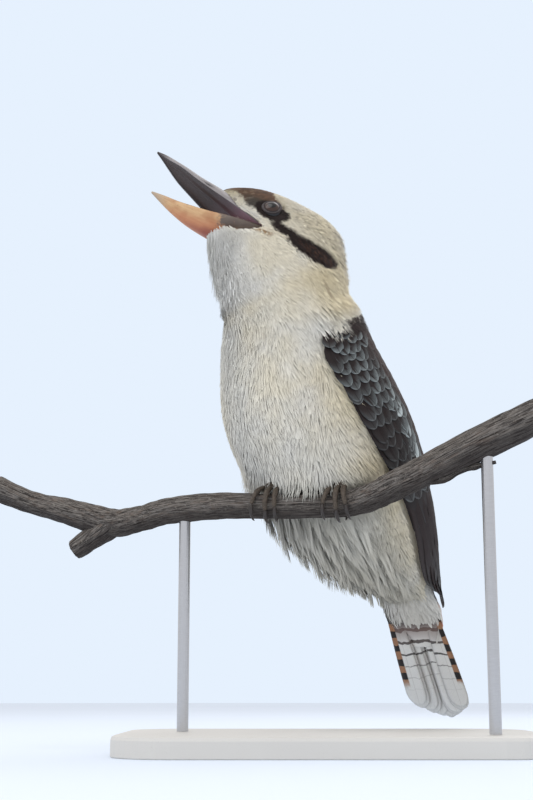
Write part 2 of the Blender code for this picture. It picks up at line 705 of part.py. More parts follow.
def lock(t, angle, reach, half_width, lift):
    """A flat tapered lock of loose feathers: rooted in the body, and lying back along it."""
    along = np.array([0, 0.5, 1.0])
    path, normals = [], []
    for a, height in zip(along, (-1.6, 0.9, lift)):
        section = smooth_row(BODY, t - reach * a)
        skin = body_points(t - reach * a, angle)[0]
        out = unit(skin - section[:3] * MM)
        path.append(skin + out * height * MM)
        normals.append(out)
    return vane(path, normals, half_width * np.array([0.8, 1.0, 0.12]), 0, 0.06, "white_plumage")


def fringe():
    """Loose locks in uneven rows round the lower breast, the belly and the root of the tail."""
    locks = []
    for row, (t, first, last, count, reach) in enumerate(FRINGE_ROWS):
        for k in range(count):
            wave = math.sin(2.7 * k + 1.9 * row)
            angle = first + (last - first) * k / (count - 1)
            locks.append(
                lock(t + 0.15 * wave, angle, reach * (1 + 0.1 * wave), 7 * MM, 5.2 - row + wave)
            )
    return locks


def torso():
    """Breast, belly, back and tail coverts, cut clear of the branch, the legs and the claws."""
    made = body_loft("torso", TORSO_END, TORSO_TOP, 17)
    boolean(made, fringe(), "UNION")
    cutters = [perch(0.4 * MM)]
    for side in FEET:
        cutters.append(leg(side, 0.4 * MM))
        cutters += [claw(side, k, 0.4 * MM) for k in range(len(TOES))]
    boolean(made, cutters, "DIFFERENCE")
    return made


def stand():
    """A flat base with rounded corners, and two rods up to the underside of the branch."""
    corner = np.radians(np.arange(0, 91, 15))
    bevel, chamfer = BASE_BEVEL, 0.6 * MM
    levels = (
        # height, how far the outline is drawn in
        (0, chamfer),
        (chamfer, 0),
        (BASE_HEIGHT - bevel, 0),
        (BASE_HEIGHT - bevel * 0.3, bevel * 0.3),
        (BASE_HEIGHT, bevel),
    )
    rings = []
    for z, inset in levels:
        ring = []
        for quarter, (sx, sy) in enumerate(((1, 1), (-1, 1), (-1, -1), (1, -1))):
            radius = BASE_CORNER - inset
            cx = sx * (BASE_LENGTH / 2 - BASE_CORNER)
            cy = sy * (BASE_WIDTH / 2 - BASE_CORNER)
            for a in corner + quarter * math.pi / 2:
                ring.append((cx + radius * math.cos(a), cy + radius * math.sin(a), z))
        rings.append(ring)
    rings_to_solid("stand_base", rings, "stand")
    for name, x in ROD_X.items():
        centre, _, _ = perch_row(x)
        low = np.array([centre[0], centre[1], BASE_HEIGHT + GAP])
        shank = np.linspace(low, [centre[0], centre[1], centre[2]], 2)
        rod = tube(name, shank, (ROD_RADIUS, ROD_RADIUS), 16, "rod", (1, 0, 0))
        boolean(rod, [perch(GAP)], "DIFFERENCE")


def shade(target):
    """Smooth shading that keeps edges over 35 degrees sharp."""
    target.data.shade_smooth()
    target.data.set_sharp_from_angle(angle=math.radians(35))


def build():
    clear_scene()
    head()
    body_loft("neck", TORSO_TOP + CUT, NECK_TOP, 5)
    torso()
    tail()
    for side, sign in (("left", 1), ("right", -1)):
        wing(f"wing_{side}", sign)
        leg(side)
        for index in range(len(TOES)):
            claw(side, index)
        ball(f"eye_{side}", eye_centre(sign)[0], EYE_RADIUS, "eye")
    bored_upper_bill()
    lower_bill()
    perch()
    stand()
    for made in bpy.context.scene.objects:
        shade(made)


build()
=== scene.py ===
import math

import bpy
import numpy as np
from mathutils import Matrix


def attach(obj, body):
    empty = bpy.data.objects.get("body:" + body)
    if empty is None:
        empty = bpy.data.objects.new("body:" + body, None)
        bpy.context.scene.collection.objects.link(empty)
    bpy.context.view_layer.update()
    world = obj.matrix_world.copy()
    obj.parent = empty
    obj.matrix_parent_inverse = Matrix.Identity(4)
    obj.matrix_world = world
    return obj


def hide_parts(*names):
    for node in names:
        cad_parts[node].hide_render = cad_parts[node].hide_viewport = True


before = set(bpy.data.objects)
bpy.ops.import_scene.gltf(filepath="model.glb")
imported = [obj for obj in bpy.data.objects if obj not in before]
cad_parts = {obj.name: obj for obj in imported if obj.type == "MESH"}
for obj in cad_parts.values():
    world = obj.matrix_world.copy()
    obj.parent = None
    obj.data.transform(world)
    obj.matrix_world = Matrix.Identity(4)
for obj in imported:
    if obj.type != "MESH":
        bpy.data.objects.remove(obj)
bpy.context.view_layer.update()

MM = 0.001
CHANCE = np.random.default_rng(41)
DENSITY = 1.0

# Body sections from tail to face, in millimetres and degrees: centre, heading, rise and roll of
# the way forward, half width, and the depths to the back and to the belly.
BODY = (
    (59, 92, 92, 38, 58, 0, 17, 6, 7),
    (49, 80, 108, 38, 54, 0, 24, 12, 18),
    (37, 62, 127, 38, 52, 0, 35.5, 21, 35),
    (21, 44, 148, 38, 56, 0, 48, 33, 47),
    (7, 28, 170, 38, 62, 0, 53, 42, 53),
    (-4, 16, 193, 38, 66, 0, 55, 46, 57),
    (-13, 5, 215, 38, 70, 0, 53, 45, 56),
    (-20, -4, 238, 40, 72, 0, 47, 41, 49),
    (-25, -11, 260, 48, 70, 1, 41, 40, 42),
    (-27, -15, 275, 62, 64, 3, 36, 43, 42),
    (-32, -17, 291, 78, 54, 5, 32, 47, 41),
    (-43, -18, 307, 88, 44, 8, 28, 37, 36),
    (-56, -18, 320, 90, 36, 9, 21, 28, 28),
    (-67, -18, 328, 90, 31, 12, 13, 20, 19),
    (-74, -18, 332, 90, 31, 15, 8, 13.5, 14),
)
FACE = 14.0  # the last section

# The bill: both halves start at the gape. Rises and the roll to the left are in degrees.
GAPE = np.array([-43.2, -18.2, 308.7]) * MM
HEAD_HEADING, BILL_ROLL = 90, 20
UPPER_RISE, LOWER_RISE = 42.8, 26.4
UPPER_LENGTH, LOWER_LENGTH = 87.2 * MM, 74.7 * MM
UPPER_SECTIONS = (
    # share of the length, half width, outer depth, depth of the hollow, drop of the axis
    (0.00, 17.6, 10.6, 2.6, 0.3),
    (0.10, 17.0, 11.4, 3.0, 0.6),
    (0.28, 15.6, 12.0, 3.6, 1.4),
    (0.46, 12.9, 11.0, 3.6, 1.8),
    (0.62, 10.4, 8.2, 3.0, 1.8),
    (0.76, 8.4, 6.2, 2.4, 1.4),
    (0.87, 4.8, 4.9, 1.6, 0.9),
    (0.94, 2.4, 3.4, 0.9, 0.4),
    (1.00, 0.7, 1.0, 0.2, 0.0),
)
LOWER_SECTIONS = (
    (0.00, 17.0, 7.0, 2.2, 0.0),
    (0.10, 16.6, 8.0, 2.5, -0.5),
    (0.28, 15.0, 9.3, 3.2, -1.8),
    (0.46, 11.6, 9.2, 3.2, -2.6),
    (0.62, 8.6, 8.2, 2.8, -2.6),
    (0.76, 5.6, 6.3, 2.0, -1.9),
    (0.88, 3.3, 4.0, 1.2, -0.8),
    (1.00, 0.7, 0.9, 0.2, 0.0),
)
BILL_ROUND = 1.7  # power of the bill's arch: 2 is an ellipse, less is flatter at the sides

EYE_RADIUS = 7.0 * MM
EYE_SECTION, EYE_ANGLE, EYE_DEPTH = 11.3, 66, 4.8 * MM

# Wing: degrees round the body of its front and back edges at each section, and its clearance.
WING_TOP, WING_TIP = 7.55, -0.3
WING_FRONT = (
    (0, 0.7, 1.8, 3, 4.2, 5, 5.9, 7, 7.4, 7.55),
    (80, 104, 112, 109, 109, 112, 116, 120, 115, 96),
)
WING_BACK = ((0, 1, 2, 3, 5, 7.55), (22, 15, 11, 10, 10, 15))
WING_CLEAR = ((0, 1, 2, 3), (4.2, 2.8, 2.0, 1.7))
FAR_WING_COVERED = 22  # degrees of the right wing's front that the breast feathers cover

# Tail: its heading and rise, its root, and the coverts' block: reach, half width, depths over and
# under.
TAIL_HEADING, TAIL_RISE = 38, 60
TAIL_ROOT = np.array([55.5, 87.5, 97.8]) * MM
TAIL_LENGTH, TAIL_START = 93 * MM, 14 * MM
TAIL_FAN, TAIL_PAIRS = 0.03, 6
TAIL_COVERTS = ((1.6, 19, 7.5, 10.5), (11, 20.5, 6, 9), (24, 18.5, 3.6, 7), (38, 11, 0.8, 3.4))

# The branch with its stub and splinter, in millimetres.
PERCH = (
    # x, y, z, radius
    (-214, 53, 165, 8.2),
    (-190, 45, 155, 7.2),
    (-170, 37, 149, 7.6),
    (-150, 30, 143, 8.5),
    (-133, 24, 138.5, 8.7),
    (-117, 18, 141, 8.1),
    (-101, 12, 144.5, 7.7),
    (-79, 4, 146, 7.9),
    (-54, -5, 146, 7.8),
    (-24, -16, 144.5, 7.5),
    (8, -27, 144, 7.5),
    (25, -33, 148.5, 7.9),
    (42, -40, 156, 8.8),
    (60, -46, 164, 9.1),
    (92, -58, 179, 9.7),
    (120, -68, 191, 9.5),
)
STUB_ROOT, STUB_TIP = (-136, 25, 138), (-159, 34, 123)
STUB_RADII = (8.0, 6.2)
TWIG = ((52, -43, 156), (64, -47.5, 155.5), (76, -52, 161), (93, -58, 164))
TWIG_RADIUS = 1.7

FEET = {"left": 4, "right": -36}  # where each foot is along the branch
TOE_RADIUS, TARSUS_RADIUS, CLAW_LENGTH = 2.3, 3.0, 9.5
TOE_SLIM, CLAW_SLIM = 0.78, 0.62  # widths of the finished toes and claws on the toes' radius
LEG_HEADING = 38
TOES = (
    # offset of the root along the branch, splay, degrees round it at root and tip, thickness
    (-3.6, -7.5, -8, 92, 0.92),
    (0.4, 0.5, -8, 112, 1.0),
    (4.4, 6.0, -8, 100, 0.92),
    (0.2, 1.5, 8, -84, 0.95),
)


def unit(vector):
    """The vectors at length 1."""
    return vector / np.maximum(np.linalg.norm(vector, axis=-1, keepdims=True), 1e-12)


def ease(value, low, high):
    """0 below low, 1 above high, and a smooth step between."""
    share = np.clip((value - low) / (high - low), 0, 1)
    return share * share * (3 - 2 * share)


def folded(angle):
    """The angle off the back, the same on both sides."""
    return np.abs((angle + 180) % 360 - 180)


def circle(sides):
    """Angles of even steps round a circle."""
    return np.arange(sides) * 2 * math.pi / sides


def towards(turn, first, second):
    """Directions turned by an angle from the first towards the second."""
    return np.cos(turn)[..., None] * first + np.sin(turn)[..., None] * second


def lie_at(share, angle):
    """The lie mark: a share of the way along, with the cosine and sine of an angle in degrees."""
    return np.stack([share, np.cos(np.radians(angle)), np.sin(np.radians(angle))], -1)


def even_pairs(count):
    """Pairs of shares that fill a square evenly: two golden-ratio sequences."""
    k = np.arange(count) + 0.5
    return (k * 0.7548776662) % 1, (k * 0.5698402910) % 1


def rows_at(table, t):
    """Rows of a table read at t by a Catmull-Rom curve, past its ends too."""
    rows = np.asarray(table, float)
    padded = np.concatenate([[2 * rows[0] - rows[1]], rows, [2 * rows[-1] - rows[-2]]])
    t = np.asarray(t, float)
    i = np.clip(np.floor(t).astype(int), 0, len(rows) - 2)
    u = (t - i)[..., None]
    p0, p1, p2, p3 = (padded[i + k] for k in range(4))
    cubic = (3 * p1 - p0 - 3 * p2 + p3) * u**3 + (2 * p0 - 5 * p1 + 4 * p2 - p3) * u**2
    return 0.5 * (2 * p1 + (p2 - p0) * u + cubic)


def axes_at(heading, rise, roll):
    """Forward, left and back directions for a heading, rise and roll in degrees."""
    heading, rise, roll = (np.radians(np.asarray(x, float))[..., None] for x in (heading, rise, roll))
    up = np.array([0, 0, 1.0])
    level = np.sin(heading) * [-1, 0, 0] + np.cos(heading) * [0, -1, 0]
    side = np.cos(heading) * [1, 0, 0] + np.sin(heading) * [0, -1, 0]
    forward = np.cos(rise) * level + np.sin(rise) * up
    back = np.cos(rise) * up - np.sin(rise) * level
    left = side * np.cos(roll) + back * np.sin(roll)
    return forward, left, back * np.cos(roll) - side * np.sin(roll)


def body(t, angle, grow=0.0):
    """The plumage's outline: an ellipse across the body at section t, wider all round by grow.

    Angle 0 is the back, 90 the left side and 180 the belly. The back and the belly have their
    own depths, so the ellipse is two halves that meet at the sides.
    """
    t, angle, grow = np.broadcast_arrays(np.asarray(t, float), angle, grow)
    row = rows_at(BODY, t)
    _, left, back = axes_at(row[..., 3], row[..., 4], row[..., 5])
    side, away = np.sin(np.radians(angle)), np.cos(np.radians(angle))
    depth = np.where(away > 0, row[..., 7], row[..., 8]) * MM + grow
    across = (side * (row[..., 6] * MM + grow))[..., None] * left
    return row[..., :3] * MM + across + (away * depth)[..., None] * back


# Points put into meshes


def put(name, data):
    """A new object in the scene, holding this mesh, lamp or camera."""
    made = bpy.data.objects.new(name, data)
    bpy.context.scene.collection.objects.link(made)
    return made


def piece(name, points, faces, finish, stands_for=(), marks=None, patch=None, normals=None):
    """A mesh object from arrays of points and of face corners, riding on the still model.

    marks holds values for each point by name, patch each point's place on the unwrap of the
    skin, and normals the way that each point is shaded. Faces turn outwards by the sign of the
    volume that they enclose.
    """
    points = np.asarray(points, float).reshape(-1, 3)
    volume = 0.0
    for group in faces:
        corner = points[group]
        for k in range(1, group.shape[1] - 1):
            volume += np.einsum("ij,ij->", corner[:, 0], np.cross(corner[:, k], corner[:, k + 1]))
    if volume < 0:
        faces = [group[:, ::-1] for group in faces]
    corners = np.concatenate([group.ravel() for group in faces]).astype(np.int32)
    sizes = np.concatenate([np.full(len(group), group.shape[1]) for group in faces])
    mesh = bpy.data.meshes.new(name)
    mesh.vertices.add(len(points))
    mesh.vertices.foreach_set("co", points.astype(np.float32).ravel())
    mesh.loops.add(len(corners))
    mesh.loops.foreach_set("vertex_index", corners)
    mesh.polygons.add(len(sizes))
    mesh.polygons.foreach_set("loop_start", (np.cumsum(sizes) - sizes).astype(np.int32))
    mesh.polygons.foreach_set("use_smooth", np.ones(len(sizes), bool))
    mesh.update(calc_edges=True)
    for mark, values in (marks or {}).items():
        layer = mesh.attributes.new(mark, "FLOAT_VECTOR", "POINT")
        layer.data.foreach_set("vector", np.asarray(values, np.float32).reshape(-1, 3).ravel())
    if normals is not None:
        layer = mesh.attributes.new("custom_normal", "FLOAT_VECTOR", "POINT")
        layer.data.foreach_set("vector", np.asarray(normals, np.float32).ravel())
    if patch is not None:
        layer = mesh.uv_layers.new(name="OFBake")
        layer.data.foreach_set("uv", np.asarray(patch, np.float32).reshape(-1, 2)[corners].ravel())
    mesh.materials.append(finish)
    made = put(name, mesh)
    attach(made, "root")
    if stands_for:
        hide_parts(*stands_for)
    return made


def ring_faces(count, sides):
    """Faces over a row of rings, with a fan to a pole at each end; the poles are the last points."""
    i, j = np.meshgrid(np.arange(count - 1), np.arange(sides), indexing="ij")
    k = (j + 1) % sides
    quads = np.stack([i * sides + j, i * sides + k, (i + 1) * sides + k, (i + 1) * sides + j], -1)
    around = np.arange(sides)
    after = (around + 1) % sides
    last = (count - 1) * sides
    pole = np.full(sides, count * sides)
    start = np.stack([pole, after, around], -1)
    end = np.stack([pole + 1, last + around, last + after], -1)
    return [quads.reshape(-1, 4), np.concatenate([start, end])]


def over_rings(name, rings, finish, stands_for=(), marks=None, poles=None):
    """A closed skin over rings of points, with a pole in the middle of each end ring."""
    rings = np.asarray(rings, float)
    count, sides = rings.shape[:2]
    ends = rings[[0, -1]].mean(1) if poles is None else np.asarray(poles, float)
    points = np.concatenate([rings.reshape(-1, 3), ends])
    closed = {}
    for mark, values in (marks or {}).items():
        values = np.asarray(values, float)
        closed[mark] = np.concatenate([values.reshape(-1, 3), values[[0, -1]].mean(1)])
    return piece(name, points, ring_faces(count, sides), finish, stands_for, closed)


def tube_rings(centres, radii, sides, up=(0, 0, 1)):
    """Circles across a line. Radii may be one for each circle, or one for each of its points."""
    centres = np.asarray(centres, float)
    radii = np.asarray(radii, float)
    radii = radii[:, None] if radii.ndim == 1 else radii
    tangents = unit(np.gradient(centres, axis=0))
    side = unit(np.cross(tangents, up))
    over = np.cross(side, tangents)
    return centres[:, None] + towards(circle(sides), side[:, None], over[:, None]) * radii[..., None]


# Finishes


def paint(red, green, blue):
    """A colour as light values, from its 0 to 255 values on a screen."""
    share = np.array([red, green, blue]) / 255
    light = np.where(share <= 0.04045, share / 12.92, ((share + 0.055) / 1.055) ** 2.4)
    return (*light.tolist(), 1.0)


def maths(operation, swapped=False):
    """A method that joins a strand and other values in a Math node, the strand last if swapped."""

    def joined(strand, *others):
        values = (*others, strand) if swapped else (strand, *others)
        return strand.finish.node("ShaderNodeMath", {"operation": operation}, dict(enumerate(values)))

    return joined


class Strand:
    """A value on its way through a finish. Arithmetic on it adds Math nodes."""

    __add__, __radd__ = maths("ADD"), maths("ADD", True)
    __sub__, __rsub__ = maths("SUBTRACT"), maths("SUBTRACT", True)
    __mul__, __rmul__ = maths("MULTIPLY"), maths("MULTIPLY", True)
    __truediv__, __rtruediv__ = maths("DIVIDE"), maths("DIVIDE", True)
    __pow__, __rpow__ = maths("POWER"), maths("POWER", True)
    __abs__, sine = maths("ABSOLUTE"), maths("SINE")

    def __init__(self, finish, socket):
        self.finish, self.socket = finish, socket

    def eased(self, low, high):
        """0 below low, 1 above high, smooth between, and the other way round where low is higher."""
        values = {"Value": self, "From Min": low, "From Max": high}
        return self.finish.node("ShaderNodeMapRange", {"interpolation_type": "SMOOTHSTEP"}, values)

    def within(self, low, rise, fall, high):
        """0 outside low to high, 1 from rise to fall, and smooth between."""
        return self.eased(low, rise) * self.eased(high, fall)


class Finish:
    """A material in the making."""

    def __init__(self, name, **constants):
        self.material = bpy.data.materials.new(name)
        self.material.use_nodes = True
        self.tree = self.material.node_tree
        self.shader = self.tree.nodes["Principled BSDF"]
        for socket, value in constants.items():
            socket = socket.replace("_", " ").title().replace("Ior", "IOR")
            self.shader.inputs[socket].default_value = value

    def node(self, kind, settings=None, values=None, out=0):
        """Adds a node: its settings first, then its sockets' values or links."""
        made = self.tree.nodes.new(kind)
        for key, value in (settings or {}).items():
            if key == "stops":
                ramp = made.color_ramp.elements
                while len(ramp) < len(value):
                    ramp.new(0.5)
                for element, (place, shade) in zip(ramp, value):
                    element.position = place
                    element.color = shade
            else:
                setattr(made, key, value)
        for key, value in (values or {}).items():
            if isinstance(value, Strand):
                self.tree.links.new(value.socket, made.inputs[key])
            else:
                made.inputs[key].default_value = value
        return Strand(self, made.outputs[out])

    def mark(self, name):
        """The three numbers that each point of a piece carries under this name."""
        return self.parts(self.node("ShaderNodeAttribute", {"attribute_name": name}, out="Vector"))

    def parts(self, vector):
        """The three numbers of a vector."""
        first = self.node("ShaderNodeSeparateXYZ", None, {0: vector})
        outputs = first.socket.node.outputs
        return [Strand(self, outputs[k]) for k in range(3)]

    def vector(self, x, y, z):
        """A vector from three numbers."""
        return self.node("ShaderNodeCombineXYZ", None, {0: x, 1: y, 2: z})

    def place(self):
        """Object coordinates."""
        return self.node("ShaderNodeTexCoord", out="Object")

    def noise(self, scale, detail=2.0, rough=0.5, at=None, warp=0.0):
        """Noise from 0 to 1, on Object coordinates or on the place given."""
        values = {"Scale": scale, "Detail": detail, "Roughness": rough, "Distortion": warp}
        values["Vector"] = self.place() if at is None else at
        return self.node("ShaderNodeTexNoise", None, values)

    def mix(self, factor, under, over):
        """Colour under, covered by colour over as far as the factor says."""
        settings = {"data_type": "RGBA", "blend_type": "MIX"}
        return self.node("ShaderNodeMix", settings, {0: factor, 6: under, 7: over}, out=2)

    def layers(self, colour, *coats):
        """A colour with more over it: each coat is how far it covers, and its own colour."""
        for cover, tone in coats:
            colour = self.mix(cover, colour, tone)
        return colour

    def dim(self, colour, amount):
        """A colour times a number."""
        grey = self.node("ShaderNodeCombineColor", None, {0: amount, 1: amount, 2: amount})
        settings = {"data_type": "RGBA", "blend_type": "MULTIPLY"}
        return self.node("ShaderNodeMix", settings, {0: 1.0, 6: colour, 7: grey}, out=2)

    def curve(self, value, points, full):
        """A broken line through points, read at value and scaled so that full is 1 on the ramp."""
        span = points[-1][0] - points[0][0]
        stops = [((x - points[0][0]) / span, (y / full, y / full, y / full, 1)) for x, y in points]
        share = (value - points[0][0]) / span
        return self.node("ShaderNodeValToRGB", {"stops": stops}, {0: share}) * full

    def done(self, colour=None, roughness=None, bump=None, distance=0.2 * MM, strength=0.6):
        """Links what varies to the shader, and gives the material."""
        links = {"Base Color": colour, "Roughness": roughness}
        if bump is not None:
            links["Normal"] = self.node(
                "ShaderNodeBump", None, {"Height": bump, "Distance": distance, "Strength": strength}
            )
        for name, strand in links.items():
            if strand is not None:
                self.tree.links.new(strand.socket, self.shader.inputs[name])
        return self.material


# Where the markings of the head run, in sections and degrees round the body.
BROW_LOW = (
    (11.0, 58), (11.3, 66), (11.5, 72), (11.7, 80), (12.0, 79),
    (12.3, 70), (12.7, 57), (13.1, 50), (13.5, 40), (14, 30),
)
BROW_TOP = ((11.0, 58), (11.15, 56), (11.35, 50), (11.6, 40), (11.8, 16), (11.95, 0), (14, 0))
STRIPE_MIDDLE = (
    (9.0, 58), (9.3, 64), (9.6, 71), (9.95, 76.5), (10.3, 79), (10.7, 81), (11.0, 80), (11.3, 76),
)
STRIPE_HALF = (
    (9.05, 0), (9.2, 10), (9.5, 11.5), (9.95, 8.5), (10.3, 6), (10.7, 5), (11.0, 5.5), (11.3, 5),
)
GAPE_LINE = (
    (10.3, 83), (10.5, 84), (10.7, 87), (10.9, 90), (11.2, 93), (11.5, 97), (12.0, 101), (12.6, 108),
)
MANTLE_EDGE = ((0.0, 60), (2.2, 70), (3.2, 92), (7.3, 92), (7.65, 92), (7.8, 0))


def feather_streaks(finish):
    """The barb mark's way along and own shade, with noise drawn out along each feather."""
    along, across, own = finish.mark("barb")
    place = finish.vector(across * 2.6 + own * 90, along * 1.1, own * 37)
    return along, own, finish.noise(1.0, 2.0, at=place)


def plumage(name, coated):
    """Head, neck and body plumage, the same on the skin and on its coat.

    The lie mark gives the section and the angle round the body, and each marking is a distance
    from one of the lines above, with its edge broken by noise. Some layers are painted shade: the
    right of the breast greyer, and the belly greyer under the branch and darker in the branch's
    painted shadow. On the coat the barb mark adds the streaks along each feather, its own tone,
    and painted shade towards its root.
    """
    finish = Finish(name, roughness=0.85, specular_ior_level=0.2, sheen_weight=0.15, sheen_roughness=0.5)
    share, cosine, sine = finish.mark("lie")
    wander = finish.noise(95, 3.0) - 0.5
    ragged = finish.noise(520, 2.0) - 0.5
    soft, fleck = finish.noise(34, 2.0), finish.noise(330, 1.0)
    section = share * FACE
    t = section + wander * 0.16 + ragged * 0.14
    radians = finish.node("ShaderNodeMath", {"operation": "ARCTAN2"}, {0: abs(sine), 1: cosine})
    angle = radians * math.degrees(1)
    a = angle + wander * 5.0 + ragged * 6.0

    white, cream = paint(238, 235, 227), paint(240, 230, 206)
    grey, buff = paint(218, 217, 211), paint(226, 208, 166)
    brown, black = paint(86, 54, 38), paint(44, 34, 31)
    rust, mantle, rufous = paint(112, 74, 52), paint(58, 46, 42), paint(150, 84, 48)

    pale_throat = a.eased(112, 138) * t.eased(9.0, 9.8)
    forehead = fleck.eased(0.54, 0.64) * a.eased(86, 78) * t.eased(11.9, 12.2)
    scrawl = abs(a - 136.0 + t * 6.0 - ragged * 14.0)
    vermicule = ((t * 30.0).sine() * 0.5 + ragged * 2.6).eased(0.3, 0.8)
    brow_top = (a - finish.curve(t, BROW_TOP, 180)).eased(-4.0, 2.0)
    brow = (finish.curve(t, BROW_LOW, 180) - a).eased(-2.0, 4.0) * brow_top * t.eased(11.0, 11.15)
    brow_brown = finish.mix(fleck.eased(0.36, 0.60), brown, rust)
    brow_brown = finish.mix(t.eased(12.6, 11.9) * a.eased(50, 68), brow_brown, black)
    ahead, aside = (section - 11.25) * 13.0, (angle - 69.0) * 0.50
    round_eye = (ahead * ahead + aside * aside) ** 0.5 + ragged * 2.4
    inside = finish.curve(t, STRIPE_HALF, 180) - abs(a - finish.curve(t, STRIPE_MIDDLE, 180))
    stripe = inside.eased(-1.5, 2.5) * t.within(9.05, 9.2, 10.9, 11.1)
    worn = inside.eased(2.0, 9.0) * t.eased(10.6, 9.8) * ragged.eased(-0.1, 0.1)
    under = angle + ragged * 5.0 - finish.curve(t, GAPE_LINE, 180)
    rictus = under.within(1.2, 2.6, 4.0, 9.0) * t.within(10.6, 10.8, 11.5, 11.9)
    back = (finish.curve(t, MANTLE_EDGE, 180) - a).eased(-3, 3) * (t + ragged * 0.8).eased(7.9, 7.6)
    bars = (section * 9.0 + wander * 3.0).sine().eased(0.0, 0.5)
    over = finish.mix(section.eased(3.0, 2.2), mantle, finish.mix(bars, rufous, black))

    colour = finish.layers(
        white,
        ((0.25 + soft.eased(0.3, 0.7) * 0.75) * (1.0 - pale_throat * 0.8), cream),
        (a.eased(84, 50) * t.eased(9.0, 9.8) * soft * 0.9, paint(226, 212, 176)),  # crown
        # painted shade: the bird's right side of the breast greyer, as turned from the light
        (sine.eased(0.25, -0.35) * t.eased(8.8, 7.6) * 0.6, grey),  # right of the breast
        (a.eased(158, 116) * t.within(1.0, 2.4, 6.2, 7.6) * (0.25 + soft * 0.5), buff),  # flank
        (a.eased(112, 160) * t.eased(6.6, 4.6) * (0.25 + soft * 0.45), grey),  # belly
        (a.eased(132, 84) * t.within(7.5, 8.0, 9.0, 9.9) * (0.5 + soft * 0.5), buff),  # collar
        (a.eased(48, 28) * t.within(8.6, 9.0, 9.5, 10.0) * ragged.eased(0.0, 0.12) * 0.7, brown),  # nape
        (fleck.eased(0.52, 0.72) * a.eased(86, 74) * t.within(9.5, 9.8, 10.8, 11.3) * 0.32, brown),
        (forehead * 0.5, brown),
        (scrawl.eased(2.6, 1.0) * t.within(8.2, 8.4, 8.8, 9.0) * a.eased(102, 98) * 0.35, rust),
        # painted shade: the belly greyer below the branch
        (t.eased(4.5, 4.0) * a.eased(104, 140) * (0.35 + soft * 0.5), paint(176, 175, 166)),
        # painted shadow of the branch on the belly just below it
        (t.within(3.1, 3.8, 4.0, 4.3) * a.eased(120, 150) * 0.5, paint(112, 108, 102)),
        (vermicule * a.within(98, 108, 128, 156) * t.within(2.0, 3.0, 6.0, 7.0) * 0.14, brown),
        (a.eased(19, 10) * t.within(9.3, 9.8, 11.8, 12.2) * fleck.eased(0.40, 0.55) * 0.8, brown),
        (brow * (0.92 - forehead * 0.3), brow_brown),
        (round_eye.eased(7.4, 5.8), black),
        (stripe, finish.mix(worn * 0.35, black, rust)),
        (abs(under).eased(2.6, 1.0) * t.within(10.3, 10.5, 11.3, 11.6) * 0.9, paint(232, 220, 196)),
        (rictus * ragged.eased(-0.10, 0.06) * 0.8, paint(146, 104, 52)),
        (back, over),
    )
    if coated:
        along, own, streak = feather_streaks(finish)
        vary = 1.0 + t.eased(8.8, 10.4) * 1.3
        # painted shade: each feather darker towards its root, where the ones over it shade it, times its own
        # tone and streaks
        shade = 0.93 + along.eased(0.0, 0.6) * 0.06 + ((own - 0.5) * 0.06 + (streak - 0.5) * 0.10) * vary
        return finish.done(finish.dim(colour, shade))
    mouth, _, _ = finish.mark("mouth")
    flesh = finish.mix(finish.noise(240, 2.0), paint(128, 90, 102), paint(176, 136, 150))
    return finish.done(finish.mix(mouth.eased(0.15, 0.6), finish.dim(colour, 0.92), flesh))


# Head frame: where a point is round the corner of the mouth, and the feather line round the bill,
# as sections and degrees above and below the gape.

MOUTH_DIP, MOUTH_BEND = 4.0, 0.35
BARE_TOP = (
    (10.98, 11.35, 11.8, 12.1, 12.33, 12.73, 13.05, 13.8, 14),
    (89, 84, 84, 83, 80, 73, 66, 29, 20),
)
BARE_LOW = (
    (10.98, 11.05, 11.18, 11.33, 11.53, 11.75, 12.05, 12.4, 12.75, 13.0),
    (89, 93, 98, 104, 110, 117, 126, 138, 163, 200),
)


def bare(t, angle):
    """How far inside the line of feathers round the bill's base a place is, in degrees."""
    off_back = folded(angle)
    inside = np.minimum(off_back - np.interp(t, *BARE_TOP), np.interp(t, *BARE_LOW) - off_back)
    return np.where(t > BARE_TOP[0][0], inside, -1.0)


def mouth_place(points):
    """Distance from the line through both corners of the mouth, the rise from it, and how far left.

    The line bends down towards the cheeks; the last result is that bend at each point.
    """
    forward, _, _ = axes_at(HEAD_HEADING, 0, 0)
    _, across, _ = axes_at(HEAD_HEADING, UPPER_RISE, BILL_ROLL)
    over = np.cross(forward, across)
    offset = points - GAPE
    aside = offset @ across
    bend = np.clip(np.abs(aside) - 14 * MM, 0, None)[..., None] * MOUTH_BEND * over
    level, lean = (offset + bend) @ forward, (offset + bend) @ over
    return np.hypot(level, lean), np.degrees(np.arctan2(lean, level)), aside, bend


def bill_axes(upper):
    """Forward, left and outward directions of one half of the bill, its length and its sections."""
    rise, length, sections = (
        (UPPER_RISE, UPPER_LENGTH, UPPER_SECTIONS) if upper else (LOWER_RISE, LOWER_LENGTH, LOWER_SECTIONS)
    )
    forward, left, back = axes_at(HEAD_HEADING, rise, BILL_ROLL)
    return forward, left, back if upper else -back, length, sections


def into_bill(points, upper, pull):
    """Points drawn in as far as pull says, to lie in the horn, between its outside and its hollow."""
    forward, left, out, length, sections = bill_axes(upper)
    table = np.array(sections)
    offset = points - GAPE
    share, across, height = (offset @ forward) / length, offset @ left, offset @ out
    half, depth, hollow, drop = (np.interp(share, table[:, 0], table[:, k]) * MM for k in (1, 2, 3, 4))
    height = height + drop
    above = np.clip(height, 0, None)
    level = ((np.abs(across) / half) ** BILL_ROUND + (above / depth) ** BILL_ROUND) ** (1 / BILL_ROUND)
    scale = 1 - pull * np.clip(1 - 0.88 / np.maximum(level, 0.88), 0, None)
    across = across * scale
    x = np.clip(np.abs(across) / half, 0, 0.97)
    outside = (1 - x**BILL_ROUND) ** (1 / BILL_ROUND) * depth
    inside = np.clip(1 - (x * half / (half - 0.8 * MM)) ** 2, 0, None) ** 0.4 * hollow
    height = height + (np.maximum(above * scale, (outside + inside) / 2) - height) * pull - drop
    return GAPE + forward * (share * length)[..., None] + left * across[..., None] + out * height[..., None]


